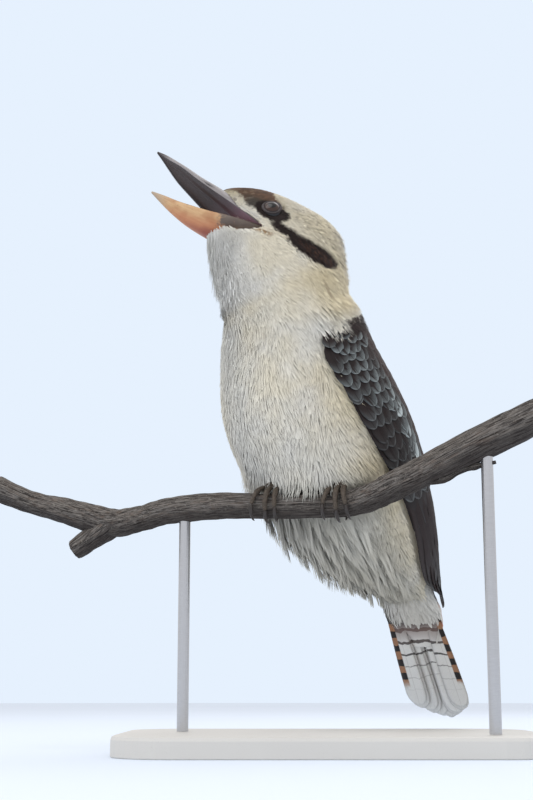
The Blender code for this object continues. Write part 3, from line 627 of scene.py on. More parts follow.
def eye_centre(side):
    """Centre of an eyeball and the way that it looks."""
    skin = body(EYE_SECTION, side * EYE_ANGLE)
    ahead = body(EYE_SECTION + 0.05, side * EYE_ANGLE)
    below = body(EYE_SECTION, side * (EYE_ANGLE + 2))
    out = unit(np.cross(ahead - skin, below - skin)) * side
    return skin - out * EYE_DEPTH, out


# Branch: its line, and what lies inside it


def branch_line(t):
    """Centre, radius and tangent of the branch at t, in sections from its left end."""
    row = rows_at(PERCH, t)
    step = rows_at(PERCH, np.asarray(t) + 0.05) - rows_at(PERCH, np.asarray(t) - 0.05)
    return row[..., :3] * MM, row[..., 3] * MM, unit(step[..., :3])


BRANCH_TS = np.linspace(5, 14, 55)


BARK_PROUD = 1.07  # the bark's ridges over the branch's radius


def from_branch(points):
    """Distance from the branch's bark, the way out from its centre line, and its centre and radius."""
    centres, radii, tangents = branch_line(BRANCH_TS)
    flat = points.reshape(-1, 3)
    far = np.linalg.norm(flat[:, None] - centres[None], axis=-1)
    near = far.argmin(1)
    offset = flat - centres[near]
    offset -= (offset * tangents[near]).sum(-1, keepdims=True) * tangents[near]
    distance = np.linalg.norm(offset, axis=-1)
    shape = points.shape[:-1]
    clear = (distance - radii[near] * BARK_PROUD).reshape(shape)
    away, centre = unit(offset).reshape(points.shape), (flat - offset).reshape(points.shape)
    return clear, away, centre, radii[near].reshape(shape)


def draped(path, front):
    """Paths that run into the branch, laid over its bark towards the front instead.

    Gives the paths, how clear of the bark they were, and which of their points were below it.
    """
    clear, away, centre, radius = from_branch(path)
    sunk = clear < 0.5 * MM
    push = 0.4 + 0.9 * ease(-clear, 0, 5 * MM)
    way = unit(away + np.array([-0.33, -0.93, 0]) * push[..., None] * front)
    over = centre + way * (radius * BARK_PROUD + 0.6 * MM)[..., None]
    return np.where(sunk[..., None], over, path), clear, away[..., 2] < 0


# Skin

COAT_DEPTH = ((0, 2, 7.5, 9.5, 11, 12.5, 14), (3.2, 3.0, 2.6, 2.2, 1.6, 1.1, 0.7))


def coat_depth(t):
    """How far the skin lies inside the plumage's outline."""
    return np.interp(t, *COAT_DEPTH) * MM


def skin():
    """The body's outline drawn in by the coat's depth, with the mouth folded in.

    A point inside the open mouth swings round the mouth's corner to the nearer jaw, and comes
    nearer to the corner the closer it was to the middle. There and inside the feather line round
    the bill it is drawn into the horn. A point inside the branch slides inwards, along the way
    out of the body, until it is clear, which leaves a groove for the branch.
    """
    rows, sides = 420, 180  # rows lie closer together towards the face
    t = (1 - (1 - np.linspace(0.0, 1.0, rows)) ** 1.35)[:, None] * FACE
    t, angle = np.broadcast_arrays(t, np.arange(sides)[None] * 360 / sides)
    points = body(t, angle, -coat_depth(t))
    out = unit(body(t, angle, 1 * MM) - body(t, angle, 0))

    reach, rise, across, bend = mouth_place(points)
    middle = (UPPER_RISE + LOWER_RISE - MOUTH_DIP) / 2
    half = (UPPER_RISE - LOWER_RISE + MOUTH_DIP) / 2 + 1.0
    q = np.clip((rise - middle) / half, -1, 1)
    inside = (np.abs(q) < 1) & (reach > 0)
    new_reach = reach * np.where(inside, np.abs(q) ** 0.75, 1)
    drawn = np.where(inside, ease(new_reach, 3 * MM, 10 * MM), 0)
    forward, left, _ = axes_at(HEAD_HEADING, middle + half * np.sign(q), BILL_ROLL)
    jaw = GAPE + forward * new_reach[..., None] + left * across[..., None] - bend * (1 - drawn)[..., None]
    points = np.where(inside[..., None], jaw, points)
    pull = np.maximum(ease(bare(t, angle), 0, 5), drawn)
    points = np.where((q > 0)[..., None], into_bill(points, True, pull), into_bill(points, False, pull))

    clear, away, _, _ = from_branch(points)
    radius, gap = 9 * MM, 0.4 * MM
    away = away * (clear + radius)[..., None]
    slope = (away * out).sum(-1)
    flat = (out * out).sum(-1)
    root = np.sqrt(np.clip(slope**2 - flat * ((away**2).sum(-1) - (radius + gap) ** 2), 0, None))
    slide = np.where(clear < gap, (slope + root) / flat, 0)
    points = points - out * slide[..., None]

    in_mouth = np.where(inside, 1 - np.abs(q), 0)[..., None] * 4
    marks = {"lie": lie_at(t / FACE, angle), "mouth": np.repeat(in_mouth, 3, -1)}
    finish = plumage("skin_under_plumage", False)
    poles = (points[0].mean(0), GAPE + axes_at(HEAD_HEADING, middle, 0)[0] * 2 * MM)
    over_rings("skin", points, finish, ("head", "neck", "torso"), marks, poles)


# Coat


def spread(count, low, high, weight):
    """Even places on the body: even pairs, the first of them mapped through the weight along t."""
    first, second = even_pairs(count)
    t = np.linspace(low, high, 400)
    middle = (t[1:] + t[:-1]) / 2
    ring = np.linalg.norm(np.diff(body(middle[:, None], np.arange(0, 361, 15)[None]), axis=1), axis=-1)
    run = np.linalg.norm(np.diff(rows_at(BODY, t)[:, :3], axis=0), axis=-1)
    total = np.concatenate([[0], np.cumsum(ring.sum(-1) * run * weight(middle))])
    return np.interp(first, total / total[-1], t), second * 360


def lay(surface, a, b, length, turn, root, tip, lift, droop, steps):
    """Paths of tufts over a surface of two parameters.

    A path starts at a, b at the root's height and runs towards lower a, turned by an angle. Its
    height eases from root to tip, and lifts and droops by the square of the way along. Gives the
    paths, the way out at each point, and their places on the surface.
    """
    s = np.asarray(steps)
    pace_a = np.linalg.norm(surface(a + 0.02, b, 0) - surface(a - 0.02, b, 0), axis=-1) / 0.04
    pace_b = np.linalg.norm(surface(a, b + 0.5, 0) - surface(a, b - 0.5, 0), axis=-1)
    along = a[:, None] - (length * np.cos(turn) / pace_a)[:, None] * s
    across = b[:, None] + (length * np.sin(turn) / pace_b)[:, None] * s**1.3
    height = root[:, None] + (tip - root)[:, None] * s**0.7 + lift[:, None] * s**2
    path = surface(along, across, height)
    out = unit(surface(along, across, height + 0.5 * MM) - path)
    path[..., 2] -= droop[:, None] * s**2
    return path, out, along, across


def tuft_mesh(path, out, widths, ridge):
    """Closed three-sided blades: two edges and a ridge along each path.

    Gives their points, their faces, and the way that each point is shaded: outwards from the
    body, a little towards the edge that it lies on, so that the plumage looks soft.
    """
    count, rows = path.shape[:2]
    side = unit(np.cross(np.gradient(path, axis=1), out))
    step = side * widths[..., None]
    points = np.stack([path - step, path + step, path + out * ridge[..., None]], 2)
    shading = np.stack([out - side * 0.2, out + side * 0.2, out], 2)
    first = np.arange(count)[:, None, None] * rows * 3
    i, j = np.meshgrid(np.arange(rows - 1) * 3, np.arange(3), indexing="ij")
    k = (j + 1) % 3
    quads = first[..., None] + np.stack([i + j, i + 3 + j, i + 3 + k, i + k], -1)[None]
    caps = first[:, 0] + np.array([[0, 1, 2]])
    ends = first[:, 0] + (rows - 1) * 3 + np.array([[2, 1, 0]])
    return points, [quads.reshape(-1, 4), np.concatenate([caps, ends])], unit(shading)


def coat_piece(name, path, out, widths, ridge, lie, own, roots, steps, finish):
    """Tufts as one piece, with their marks and a small patch each on the unwrap of the skin."""
    points, faces, shading = tuft_mesh(path, out, widths, ridge)
    count, rows = path.shape[:2]
    s = np.broadcast_to(np.asarray(steps)[None, :, None], (count, rows, 3))
    c = np.broadcast_to(np.array([-1.0, 1.0, 0.0])[None, None], (count, rows, 3))
    barb = np.stack([s, c, np.broadcast_to(own[:, None, None], s.shape)], -1)
    lies = np.broadcast_to(lie[:, :, None], (count, rows, 3, 3))
    u = np.clip(roots[0], 0.004, 0.996)[:, None, None] + (s - 0.5) * 0.003
    v = np.clip(roots[1], 0.004, 0.996)[:, None, None] + c * 0.0015
    marks = {"barb": barb, "lie": lies}
    return piece(name, points, faces, finish, (), marks, np.stack([u, v], -1), shading)


def wing_edges(t, side):
    """Degrees of a wing's front and back edges at a section: side is 1 for the left, -1 the right."""
    front = np.interp(t, *WING_FRONT) - np.where(side > 0, 0, FAR_WING_COVERED)
    return front, np.interp(t, *WING_BACK)


# The coat's two kinds of small feathers: how many of them cover each spot, the steps along each
# and its width at them, the height of its ridge, how deep its tip lies in the coat, how loose it
# is at the edges of the plumage, and its length and half width in millimetres at each section.
VANES = {
    "layers": 2.6,
    "steps": (0.0, 0.3, 0.58, 0.8, 0.93, 1.0),
    "leaf": (0.5, 0.9, 1.0, 0.82, 0.5, 0.12),
    "ridge": 0.12,
    "top": -0.40,
    "loose": 0.3,
    "sizes": (
        (0, 13, 2.2), (3, 12, 1.9), (7, 10.5, 1.6), (8.5, 8.5, 1.3), (9.6, 6.8, 1.05),
        (11, 4.6, 0.8), (12.2, 3.4, 0.65), (13.2, 2.7, 0.5), (14, 2.4, 0.45),
    ),
}
WISPS = {
    "layers": 5.2,
    "steps": (0.0, 0.35, 0.72, 1.0),
    "leaf": (0.7, 1.0, 0.7, 0.06),
    "ridge": 0.45,
    "top": -0.04,
    "loose": 1.0,
    "sizes": (
        (0, 15, 0.55), (3, 14, 0.48), (7, 12, 0.42), (8.5, 10, 0.37), (9.6, 7.6, 0.33),
        (11, 5.0, 0.27), (12.2, 3.6, 0.23), (13.2, 2.8, 0.20), (14, 2.3, 0.18),
    ),
}
PIECE_TRIANGLES = 170000
EYE_CLEAR = 7.1 * MM


def coat_layer(label, kind, finish):
    """One kind of small feather over the head, neck and body, in pieces from the tail to the face."""
    low, high = 0.35, 13.9
    table = np.array(kind["sizes"])
    steps = kind["steps"]

    def size(t):
        """A feather's length and half width, read along the body from the table of sizes."""
        return np.interp(t, table[:, 0], table[:, 1]) * MM, np.interp(t, table[:, 0], table[:, 2]) * MM

    def crowding(t):
        """Feathers to an area: the layers that lie over each other, over one feather's own area."""
        length, half = size(t)
        return kind["layers"] / (length * half * 2)

    ts = np.linspace(low, high, 300)
    around = np.linalg.norm(np.diff(body(ts[:, None], np.arange(0, 361, 15)[None]), axis=1), axis=-1).sum(-1)
    run = np.linalg.norm(np.gradient(rows_at(BODY, ts)[:, :3], axis=0), axis=-1) * MM
    count = int(DENSITY * (around * run * crowding(ts)).sum())
    t, angle = spread(count, low, high, crowding)
    jitter = CHANCE.normal(size=(6, count))
    own, luck = CHANCE.random(count), CHANCE.random(count)
    t = t + 0.015 * jitter[0]
    length, half = size(t)
    off_back = folded(angle)
    side = np.where(angle < 180, 1, -1)

    # How far each feather belongs to a part of the coat with a look of its own.
    front, _ = wing_edges(t, side)
    edge = ease(front + 9 - off_back, 0, 9) * ease(7.5 - t, 0, 0.4) * ease(t, 4.4, 5.0) * (off_back > 60)
    cape = ease(8.7 - t, 0, 0.5) * ease(t, 7.5, 7.7) * ease(front + 25 - off_back, 0, 12)
    throat = ease(off_back, 128, 160) * ease(t, 9.4, 10.8) * ease(12.9 - t, 0, 0.4)
    nape = ease(62 - off_back, 0, 30) * ease(t, 8.7, 9.2) * ease(10.4 - t, 0, 0.5)
    belly = ease(5.0 - t, 0, 1.5) * ease(off_back, 100, 140)
    skirt = ease(t, 4.1, 4.3) * ease(5.1 - t, 0, 0.5) * ease(off_back, 114, 126) * kind["loose"]
    beard = throat * (luck > 0.62)
    face = ease(t, 10.6, 11.4)
    chin = ease(off_back, 96, 130) * ease(t, 11.2, 12.0) * kind["loose"]
    bib = ease(off_back, 120, 150) * ease(t, 7.4, 8.4) * ease(10.0 - t, 0, 1.0)

    # Longer at the throat, chin and nape, turned in low waves, and lifted where it is loose.
    length = length * (1 + 0.14 * jitter[1]) * (1 + 0.5 * throat + 1.1 * beard + 0.3 * nape + 0.2 * belly)
    length = length * (1 + 0.9 * chin)
    half = half * (1 + 0.16 * jitter[2]) * (1 + 0.35 * throat)
    wave = 0.16 * np.sin(0.11 * off_back + 1.9 * t) + 0.10 * np.sin(0.31 * off_back - 3.1 * t + 1)
    turn = wave * (1 - 0.5 * face) + 0.10 * jitter[3] - edge * side * 0.35
    tip = coat_depth(t) * kind["top"] + (0.12 * length / (10 * MM) * jitter[4] + edge * 2.8 + cape * 4.4) * MM
    loose = (0.5 * throat + 1.6 * beard + 1.8 * nape + 0.6 * belly + 0.9 * bib) * (0.4 + own) + 0.5 * luck**6
    lift = (0.22 * np.abs(jitter[5]) + loose) * np.clip(length / (9 * MM), 0.2, 1) * MM
    lift = lift + (skirt * (3.5 + 3.5 * own) + chin * (1.2 + 1.8 * own)) * MM
    droop = (1.8 * throat + 1.6 * belly) * luck * MM
    root = -coat_depth(t) - 0.2 * MM
    path, out, along, across = lay(body, t, angle, length, turn, root, tip, lift, droop, steps)

    # None under a wing, on the eye or the bill, or wrapped under the branch.
    ends = folded(across)
    ends_front, ends_back = wing_edges(along, side[:, None])
    lapping = (edge + cape > 0.2)[:, None] * 8
    under_wing = (along < 7.4) & (ends > ends_back + 3) & (ends < ends_front + 2 - lapping)
    hidden = under_wing[:, 0] | (under_wing[:, 1:].any(1) & (edge + cape < 0.2))
    hidden |= under_wing.any(1) & (t < 4.8)
    near_eye = np.zeros(count, bool)
    for which in (1, -1):
        centre, _ = eye_centre(which)
        near_eye |= (np.linalg.norm(path - centre, axis=-1) < EYE_CLEAR).any(1)
    naked = bare(along, across)
    bald = (naked[:, 0] > 3 + 12 * chin * luck) | (naked[:, 1:].max(1) > 1 + 12 * chin)
    front_side = np.where(off_back > 90, 1.0, -1.0)[:, None, None]
    path, clear, below = draped(path, front_side)
    wrapped = ~below[:, 0] & (below & (clear < 0.5 * MM)).any(1)
    kept = ~hidden & ~near_eye & ~bald & ~wrapped & (clear[:, 0] > 0) & (clear.min(1) > -5.5 * MM)

    widths = half[:, None] * np.array(kind["leaf"])
    ridge = half[:, None] * kind["ridge"] * (0.35 + 0.65 * np.array(kind["leaf"]))
    lie = lie_at(along / FACE, across)
    order = np.flatnonzero(kept)
    order = order[np.argsort(t[order], kind="stable")]
    each = 6 * (len(steps) - 1) + 2
    for k, part in enumerate(np.array_split(order, math.ceil(len(order) * each / PIECE_TRIANGLES))):
        roots = (t[part] / FACE, angle[part] / 360)
        coat_piece(
            f"{label}_{k + 1}", path[part], out[part], widths[part], ridge[part],
            lie[part], own[part], roots, steps, finish,
        )


# Wing and tail feathers


def wing_surface(side):
    """The flank that a folded wing lies along: u from shoulder to tip, v from front to back edge."""

    def surface(u, v, height):
        """The place on the flank, with the wing's own clearance added to the height over it."""
        t = WING_TOP + (WING_TIP - WING_TOP) * np.asarray(u, float)
        front, back = wing_edges(t, side)
        clear = np.interp(t, *WING_CLEAR) * MM
        return body(t, side * (front + (back - front) * v), clear + height)

    return surface


def leaf(s, root=0.55, swell=0.6, end=0.05):
    """Share of a feather's half width along it: narrow root, full middle, round tip."""
    rounding = np.sqrt(np.clip(1 - ((s - swell) / (1 - swell)) ** 2, 0, 1))
    full = root + (1 - root) * np.sin(np.clip(s / swell, 0, 1) * math.pi / 2)
    return np.where(s > swell, np.maximum(rounding, end), full)


PLUME_ACROSS = np.array([-1.0, -0.62, -0.2, 0.0, 0.2, 0.62, 1.0])
SHORT_STEPS = np.array([0, 0.2, 0.4, 0.58, 0.7, 0.8, 0.88, 0.94, 0.98, 1.0])
LONG_STEPS = np.array([0, 0.1, 0.2, 0.3, 0.4, 0.5, 0.6, 0.7, 0.79, 0.87, 0.93, 0.97, 1.0])


def plumes(name, path, out, widths, camber, tilt, own, tone, steps, finish, stands_for=()):
    """Whole feathers as one piece: thin cambered plates with a raised shaft, closed round the rim.

    Across each path the plate rises by camber times one less the square of the place across,
    and leans by tilt. The underside is the same plate, lower by its thickness. The vane mark
    gives the way along, the place across and the face, and the tone mark the feather's own
    shade with two more values for each feather.
    """
    count, rows = path.shape[:2]
    cols = len(PLUME_ACROSS)
    side = unit(np.cross(np.gradient(path, axis=1), out))
    c = PLUME_ACROSS[None, None, :]
    w = widths[..., None]
    shaft = np.exp(-((c / 0.12) ** 2)) * 0.22 * MM * (1 - 0.7 * steps[None, :, None])
    rise = camber * w * (1 - c**2) + tilt * w * c + shaft
    middle = path[:, :, None] + side[:, :, None] * (w * c)[..., None]
    thick = 0.16 * MM * (1 - 0.5 * np.abs(c)) * np.ones_like(w)
    top = middle + out[:, :, None] * (rise + thick)[..., None]
    bottom = middle + out[:, :, None] * (rise - thick)[..., None]
    points = np.stack([top, bottom], 1)
    size = rows * cols
    first = np.arange(count)[:, None] * 2 * size
    grid = np.arange(size).reshape(rows, cols)
    a, b, d, e = grid[:-1, :-1].ravel(), grid[:-1, 1:].ravel(), grid[1:, 1:].ravel(), grid[1:, :-1].ravel()
    rim = np.concatenate([grid[0], grid[1:, -1], grid[-1, -2::-1], grid[-2:0:-1, 0]])
    after = np.roll(rim, -1)
    quads = np.concatenate([
        np.stack([a, e, d, b], -1),
        np.stack([a, b, d, e], -1) + size,
        np.stack([rim, after, after + size, rim + size], -1),
    ])
    faces = [(first[..., None] + quads[None]).reshape(-1, 4)]
    face = np.array([1.0, 0.0])[:, None, None]
    vane = (np.broadcast_to(x, (count, 2, rows, cols)) for x in (steps[:, None], PLUME_ACROSS, face))
    shades = (np.broadcast_to(x[:, None, None, None], (count, 2, rows, cols)) for x in (own, *tone))
    marks = {"vane": np.stack(list(vane), -1), "tone": np.stack(list(shades), -1)}
    return piece(name, points, faces, finish, stands_for, marks)


def barbs(finish, along, across, own, length):
    """Fine slanting lines from the shaft to both edges, broken by noise, as a height."""
    slant = along * length - abs(across) * 0.55
    lines = (slant * 150.0 + own * 40).sine() * 0.5 + 0.5
    grain = finish.noise(1.0, 2.0, at=finish.vector(slant * 34, across * 3, own * 50))
    return lines * 0.4 + grain * 0.6


def wing_finish():
    """Dark wing feathers. The tone mark says how pale blue the tip is and how reddish the web."""
    finish = Finish("wing_plumage", roughness=0.6, specular_ior_level=0.25)
    along, across, _ = finish.mark("vane")
    own, pale, red = finish.mark("tone")
    barb = barbs(finish, along, across, own, 2.2)
    spot = (along + across * across * 0.22 + (barb - 0.5) * 0.20).eased(0.62, 1.0)
    wide = finish.mix(barb, paint(92, 98, 99), paint(152, 162, 162))
    rim = (along + across * across * 0.16 + (barb - 0.5) * 0.04).eased(0.955, 1.03)
    colour = finish.layers(
        finish.mix(barb, paint(22, 17, 17), paint(46, 35, 33)),
        (red * (0.45 + barb * 0.5), paint(60, 38, 34)),
        (spot * pale, finish.mix(pale.eased(0.6, 1.0), wide, paint(206, 216, 216))),
        (rim * (0.08 + pale * 0.6), paint(176, 184, 184)),
        (abs(across).eased(0.09, 0.02) * 0.8, paint(28, 22, 21)),  # shaft
    )
    return finish.done(finish.dim(colour, 0.82 + own * 0.3), bump=barb, distance=0.12 * MM, strength=0.7)


COVERT_ROWS, COVERT_COUNT = 16, 12
PRIMARY_TIPS = (
    (0.86, 0.06), (0.90, 0.14), (0.94, 0.23), (0.97, 0.32),
    (1.00, 0.43), (0.965, 0.52), (0.93, 0.60), (0.87, 0.69),
)
# Root and tip on the wing as u and v, and the height of the tip in millimetres.
TERTIALS = ((0.44, 0.70, 0.70, 0.72, 4.2), (0.42, 0.80, 0.77, 0.80, 5.0), (0.38, 0.90, 0.71, 0.90, 6.0))
SCAPULAR_ROWS = 9


def covert_rows():
    """Small wing feathers in staggered rows, longer towards the tip.

    Each is its root's u and v, its tip's u and v, its half width and the heights of its root and
    tip in millimetres, how pale its tip is and how reddish its web. The pale tips fill the front
    of the upper wing and narrow to a streak along the middle of the lower wing. Behind them the
    feathers are plain and reddish.
    """
    table = []
    for row in range(COVERT_ROWS):
        tip_u = 0.050 + 0.0325 * row
        length = 0.058 + 0.0050 * row
        for k in range(COVERT_COUNT):
            luck = CHANCE.normal(size=3)
            v = 0.02 + 0.74 * (k + 0.5 * (row % 2)) / COVERT_COUNT + 0.007 * luck[0]
            top = max(tip_u - length, 0.008)
            streak = math.exp(-(((v - 0.28) / 0.06) ** 2))
            streak = streak * ease(tip_u, 0.14, 0.32) * ease(0.52 - tip_u, 0, 0.05)
            patch = 0.45 * ease(0.36 - v, 0, 0.08) * ease(0.38 - tip_u, 0, 0.20)
            pale = max(streak, patch, 0.10 * ease(0.30 - v, 0, 0.1)) * (1 + 0.3 * luck[1])
            red = 0.10 + 0.75 * ease(v, 0.30, 0.40)
            low = tip_u + 0.007 * luck[2]
            half, lifted = 4.3 + 0.06 * row, 2.2 + 0.09 * row
            table.append((top, v, low, v + 0.014 * luck[1], half, 0.5, lifted, pale, red))
    return table


def wing(name, side):
    """A folded wing: a core plate, coverts in rows, tertials, scapulars, primaries."""
    surface = wing_surface(side)
    short, long = covert_rows(), []
    for row in range(SCAPULAR_ROWS):
        for k in range(4):
            top = 0.015 + 0.045 * row + 0.010 * k
            v = 0.765 + 0.068 * k
            length = 0.085 + 0.012 * row
            short.append((top, v, top + length, v + 0.01, 6.0, 0.6, 3.8 + 0.4 * k, 0.0, 0.75 + 0.05 * k))
    for k, (tip_u, tip_v) in enumerate(PRIMARY_TIPS):
        long.append((0.50, 0.06 + 0.066 * k, tip_u, tip_v, 5.4, 0.4 + 0.1 * k, 1.6 + 0.15 * k, 0.04, 0.35))
    for root_u, root_v, tip_u, tip_v, lifted in TERTIALS:
        long.append((root_u, root_v, tip_u, tip_v, 7.4, 0.6, lifted, 0.10, 0.7))
    core_u = np.array([0.0, 0.04, 0.1, 0.18, 0.26, 0.36, 0.46, 0.54, 0.62])
    core_h = np.array([0.5, 1.2, 1.6, 1.8, 1.8, 1.8, 1.6, 1.3, 0.8]) * MM
    core_v = np.linspace(0.0, 1.0, 25)
    edge = np.clip(np.minimum(core_v, 1 - core_v) * 9, 0.25, 1)
    outer = surface(core_u[:, None], core_v[None], core_h[:, None] * edge[None])
    inner = surface(core_u[:, None], core_v[None], 0 * outer[..., 0])[:, ::-1]
    finish = bpy.data.materials.get("wing_plumage") or wing_finish()
    rings = np.concatenate([outer, inner], 1)
    nothing = np.zeros(rings.shape)
    marks = {"vane": nothing, "tone": nothing + 0.5}
    over_rings(f"{name}_core", rings, finish, (name,), marks)
    for part, table, steps in (("coverts", short, SHORT_STEPS), ("flight_feathers", long, LONG_STEPS)):
        count = len(table)
        columns = np.array(table, float).T[..., None]
        u, v = (columns[k] + (columns[k + 2] - columns[k]) * steps for k in (0, 1))
        height = (columns[5] + (columns[6] - columns[5]) * steps) * MM
        path = surface(u, v, height)
        aside = surface(u, v + 0.01, height) - surface(u, v - 0.01, height)
        out = unit(np.cross(aside, np.gradient(path, axis=1))) * side
        shape = leaf(steps, 0.6, 0.62 if part == "coverts" else 0.8)
        widths = columns[4] * MM * shape * (1 + 0.05 * np.sin(9 * steps + np.arange(count)[:, None]))
        own = CHANCE.random(count)
        tone = (np.clip(columns[7, :, 0] + 0.04 * CHANCE.normal(size=count), 0, 1), columns[8, :, 0])
        label = f"{name}_{part}"
        plumes(label, path, out, widths, 0.10, -0.12 * side, own, tone, steps, finish)


def tail_point(along, across, height):
    """A point of the tail: distance from its root, distance to the left, height over it."""
    forward, left, back = axes_at(TAIL_HEADING, TAIL_RISE, 0)
    along, across, height = (np.asarray(x, float)[..., None] for x in (along, across, height))
    return TAIL_ROOT - forward * along + left * across + back * height


def tail_root(along, angle, grow=0.0):
    """The block that the tail grows from, in metres along it and degrees round it."""
    along, angle, grow = np.broadcast_arrays(np.asarray(along, float), angle, grow)
    table = np.array(TAIL_COVERTS) * MM
    half = np.interp(along, table[:, 0], table[:, 1]) + grow
    over = np.cos(np.radians(angle))
    top, under = (np.interp(along, table[:, 0], table[:, k]) for k in (2, 3))
    depth = np.where(over > 0, top, under) + grow
    return tail_point(along, half * np.sin(np.radians(angle)), depth * over)


def tail_finish():
    """Tail feathers: white below with wavy bars that fade to the tip, rufous and barred above.

    The tone mark gives how near the feather is to the outside, signed by its side, and its length
    in decimetres. Only the outer edge of the outermost feathers shows the barring of the top.
    """
    finish = Finish("tail_plumage", roughness=0.6, specular_ior_level=0.3)
    along, across, face = finish.mark("vane")
    own, outer, length = finish.mark("tone")
    reach = along * length * 100.0
    barb = barbs(finish, along, across, own, 6.0)
    wave = finish.noise(150, 2.0) - 0.5
    white = finish.mix(barb, paint(212, 212, 210), paint(240, 239, 234))
    phase = reach * 0.70 + abs(across) * 0.9 + wave * 3.2 + own * 1.8
    thin = (phase.sine() - (reach.eased(4, 44) * 0.38 + 0.58)).eased(-0.04, 0.10)
    web = (across * outer).eased(0.34, 0.44) * (reach + wave * 12.0).eased(54, 46)
    blocks = (reach * 0.60 + wave * 2.2).sine().eased(-0.05, 0.25)
    tan = finish.mix(barb, paint(134, 92, 66), paint(178, 136, 104))
    bars = (reach * 0.52 + wave * 1.5 + abs(across) * 0.4).sine().eased(0.1, 0.35)
    under = finish.layers(
        white,
        (thin * reach.eased(66, 26) * 0.9, paint(50, 45, 44)),
        # painted shade: the underside darker towards the root, under the coverts
        (reach.eased(24, 8) * 0.7, paint(128, 104, 96)),
        (reach.eased(12, 2) * 0.7, paint(60, 50, 48)),
        (web, finish.mix(blocks, tan, paint(36, 31, 31))),
    )
    upper = finish.layers(
        finish.mix(barb, paint(132, 78, 50), paint(166, 104, 68)),
        (bars, paint(38, 30, 30)),
        ((length * 100.0 - reach).eased(17, 12), white),
    )
    colour = finish.layers(
        under,
        (face.eased(0.45, 0.55), upper),
        (abs(across).eased(0.05, 0.01) * 0.22, paint(120, 104, 96)),  # shaft
        # painted shade: a grey line along each feather's edge, where it lies over the next
        (abs(across).eased(0.84, 1.0) * reach.eased(10, 24) * 0.35, paint(140, 134, 128)),  # rim
    )
    return finish.done(finish.dim(colour, 0.92 + own * 0.10), bump=barb, distance=0.1 * MM, strength=0.6)


def tail():
    """Twelve long feathers, the middle pair on top and the outer ones shorter and lower."""
    _, _, back = axes_at(TAIL_HEADING, TAIL_RISE, 0)
    side = np.repeat([-1.0, 1.0], TAIL_PAIRS)
    share = np.tile(np.arange(TAIL_PAIRS) / (TAIL_PAIRS - 1), 2)
    steps = LONG_STEPS
    half = (8.2 - 0.4 * share) * MM
    widths = half[:, None] * leaf(steps, 0.72, 0.86, 0.12)
    middle = np.interp(share, np.linspace(0, 1, 6), (2.6, 3.6, 7.4, 8.4, 13.4, 14.1))[:, None] * MM
    length = TAIL_LENGTH - 11 * MM * share**1.3 - (side < 0) * 1.5 * MM
    reach = TAIL_START + (length[:, None] - TAIL_START) * steps
    fan = TAIL_FAN * (reach - TAIL_START) * share[:, None]
    height = ((2.3 - 5.0 * share + 0.22 * side) * MM)[:, None] + 0 * reach
    path = tail_point(reach, side[:, None] * (middle + fan), height)
    out = np.broadcast_to(back, path.shape)
    own = CHANCE.random(len(side))
    finish = tail_finish()
    tone = (share * side, (length - TAIL_START) * 10)
    plumes("tail_feathers", path, out, widths, 0.05, 0.0, own, tone, steps, finish, ("tail",))
    alongs = np.linspace(-6 * MM, 37 * MM, 28)
    rings = tail_root(alongs[:, None], np.arange(48)[None] * 7.5, -3.4 * MM)
    past = np.clip(alongs - TAIL_START, 0, None)[:, None, None] * 10 + np.zeros(rings.shape)
    marks = {"vane": rings * 0 + (1, 0.3, 0), "tone": past * (0, 0, 1) + (0.5, 0, 0)}
    over_rings("tail_root", rings, finish, (), marks)


def tail_coverts():
    """Feathers round the tail's root: long white ones below, painted grey for the shade under the tail,
    rufous and barred above.
    """
    coverts = Finish("under_coverts", roughness=0.8, specular_ior_level=0.25, sheen_weight=0.2)
    along, own, streak = feather_streaks(coverts)
    # painted shade: the white under coverts grey for the shade below the tail, darker still towards the root
    white = coverts.mix(along, paint(172, 170, 164), paint(210, 208, 201))
    below = coverts.dim(white, 0.84 + streak * 0.22 + (own - 0.5) * 0.08)
    share, cosine, _ = coverts.mark("lie")
    bars = (share * 95.0 + own).sine().eased(0.1, 0.4)
    above = coverts.mix(bars, paint(150, 86, 50), paint(46, 36, 34))
    colour = coverts.mix(cosine.eased(-0.05, 0.25), below, above)
    finish = coverts.done(colour, bump=streak, distance=0.12 * MM)

    def surface(back_along, angle, grow):
        """The root with its run turned round, forwards as on the body, so feathers lie back."""
        return tail_root(-back_along, angle, grow)

    for name, count, low, high, middle, spread_of, length, half in (
        ("under_tail_coverts", 1000, -18, 3, 180, 100, 15, 1.5),
        ("upper_tail_coverts", 700, -14, 20, 0, 88, 19, 2.0),
    ):
        first, second = even_pairs(count)
        a = (low + (high - low) * first) * MM
        b = middle + spread_of * (2 * second - 1)
        own = CHANCE.random(count)
        jitter = CHANCE.normal(size=(3, count))
        size = length * MM * (1 + 0.15 * jitter[0])
        turn, lift = 0.10 * jitter[1], 0.5 * own * MM
        root, tip = np.full(count, -1.8 * MM), (0.2 + 0.4 * jitter[2]) * MM
        steps = VANES["steps"]
        path, out, along, across = lay(surface, -a, b, size, turn, root, tip, lift, 0 * own, steps)
        widths = half * MM * np.array(VANES["leaf"]) * np.ones((count, 1))
        lie = lie_at(along, across)
        roots = (0.02 - a / (700 * MM), (b % 360) / 360)
        coat_piece(name, path, out, widths, widths * 0.2, lie, own, roots, steps, finish)


# Loose feathers under the breast and belly: section, first and last angle, count, reach in mm.
FRINGE_ROWS = (
    (4.2, 150, 246, 17, 27),
    (3.7, 148, 244, 17, 28),
    (3.2, 146, 240, 17, 28),
    (2.7, 142, 236, 16, 27),
    (2.2, 140, 228, 15, 25),
    (1.6, 142, 222, 12, 22),
)
FRINGE_STRANDS = 11


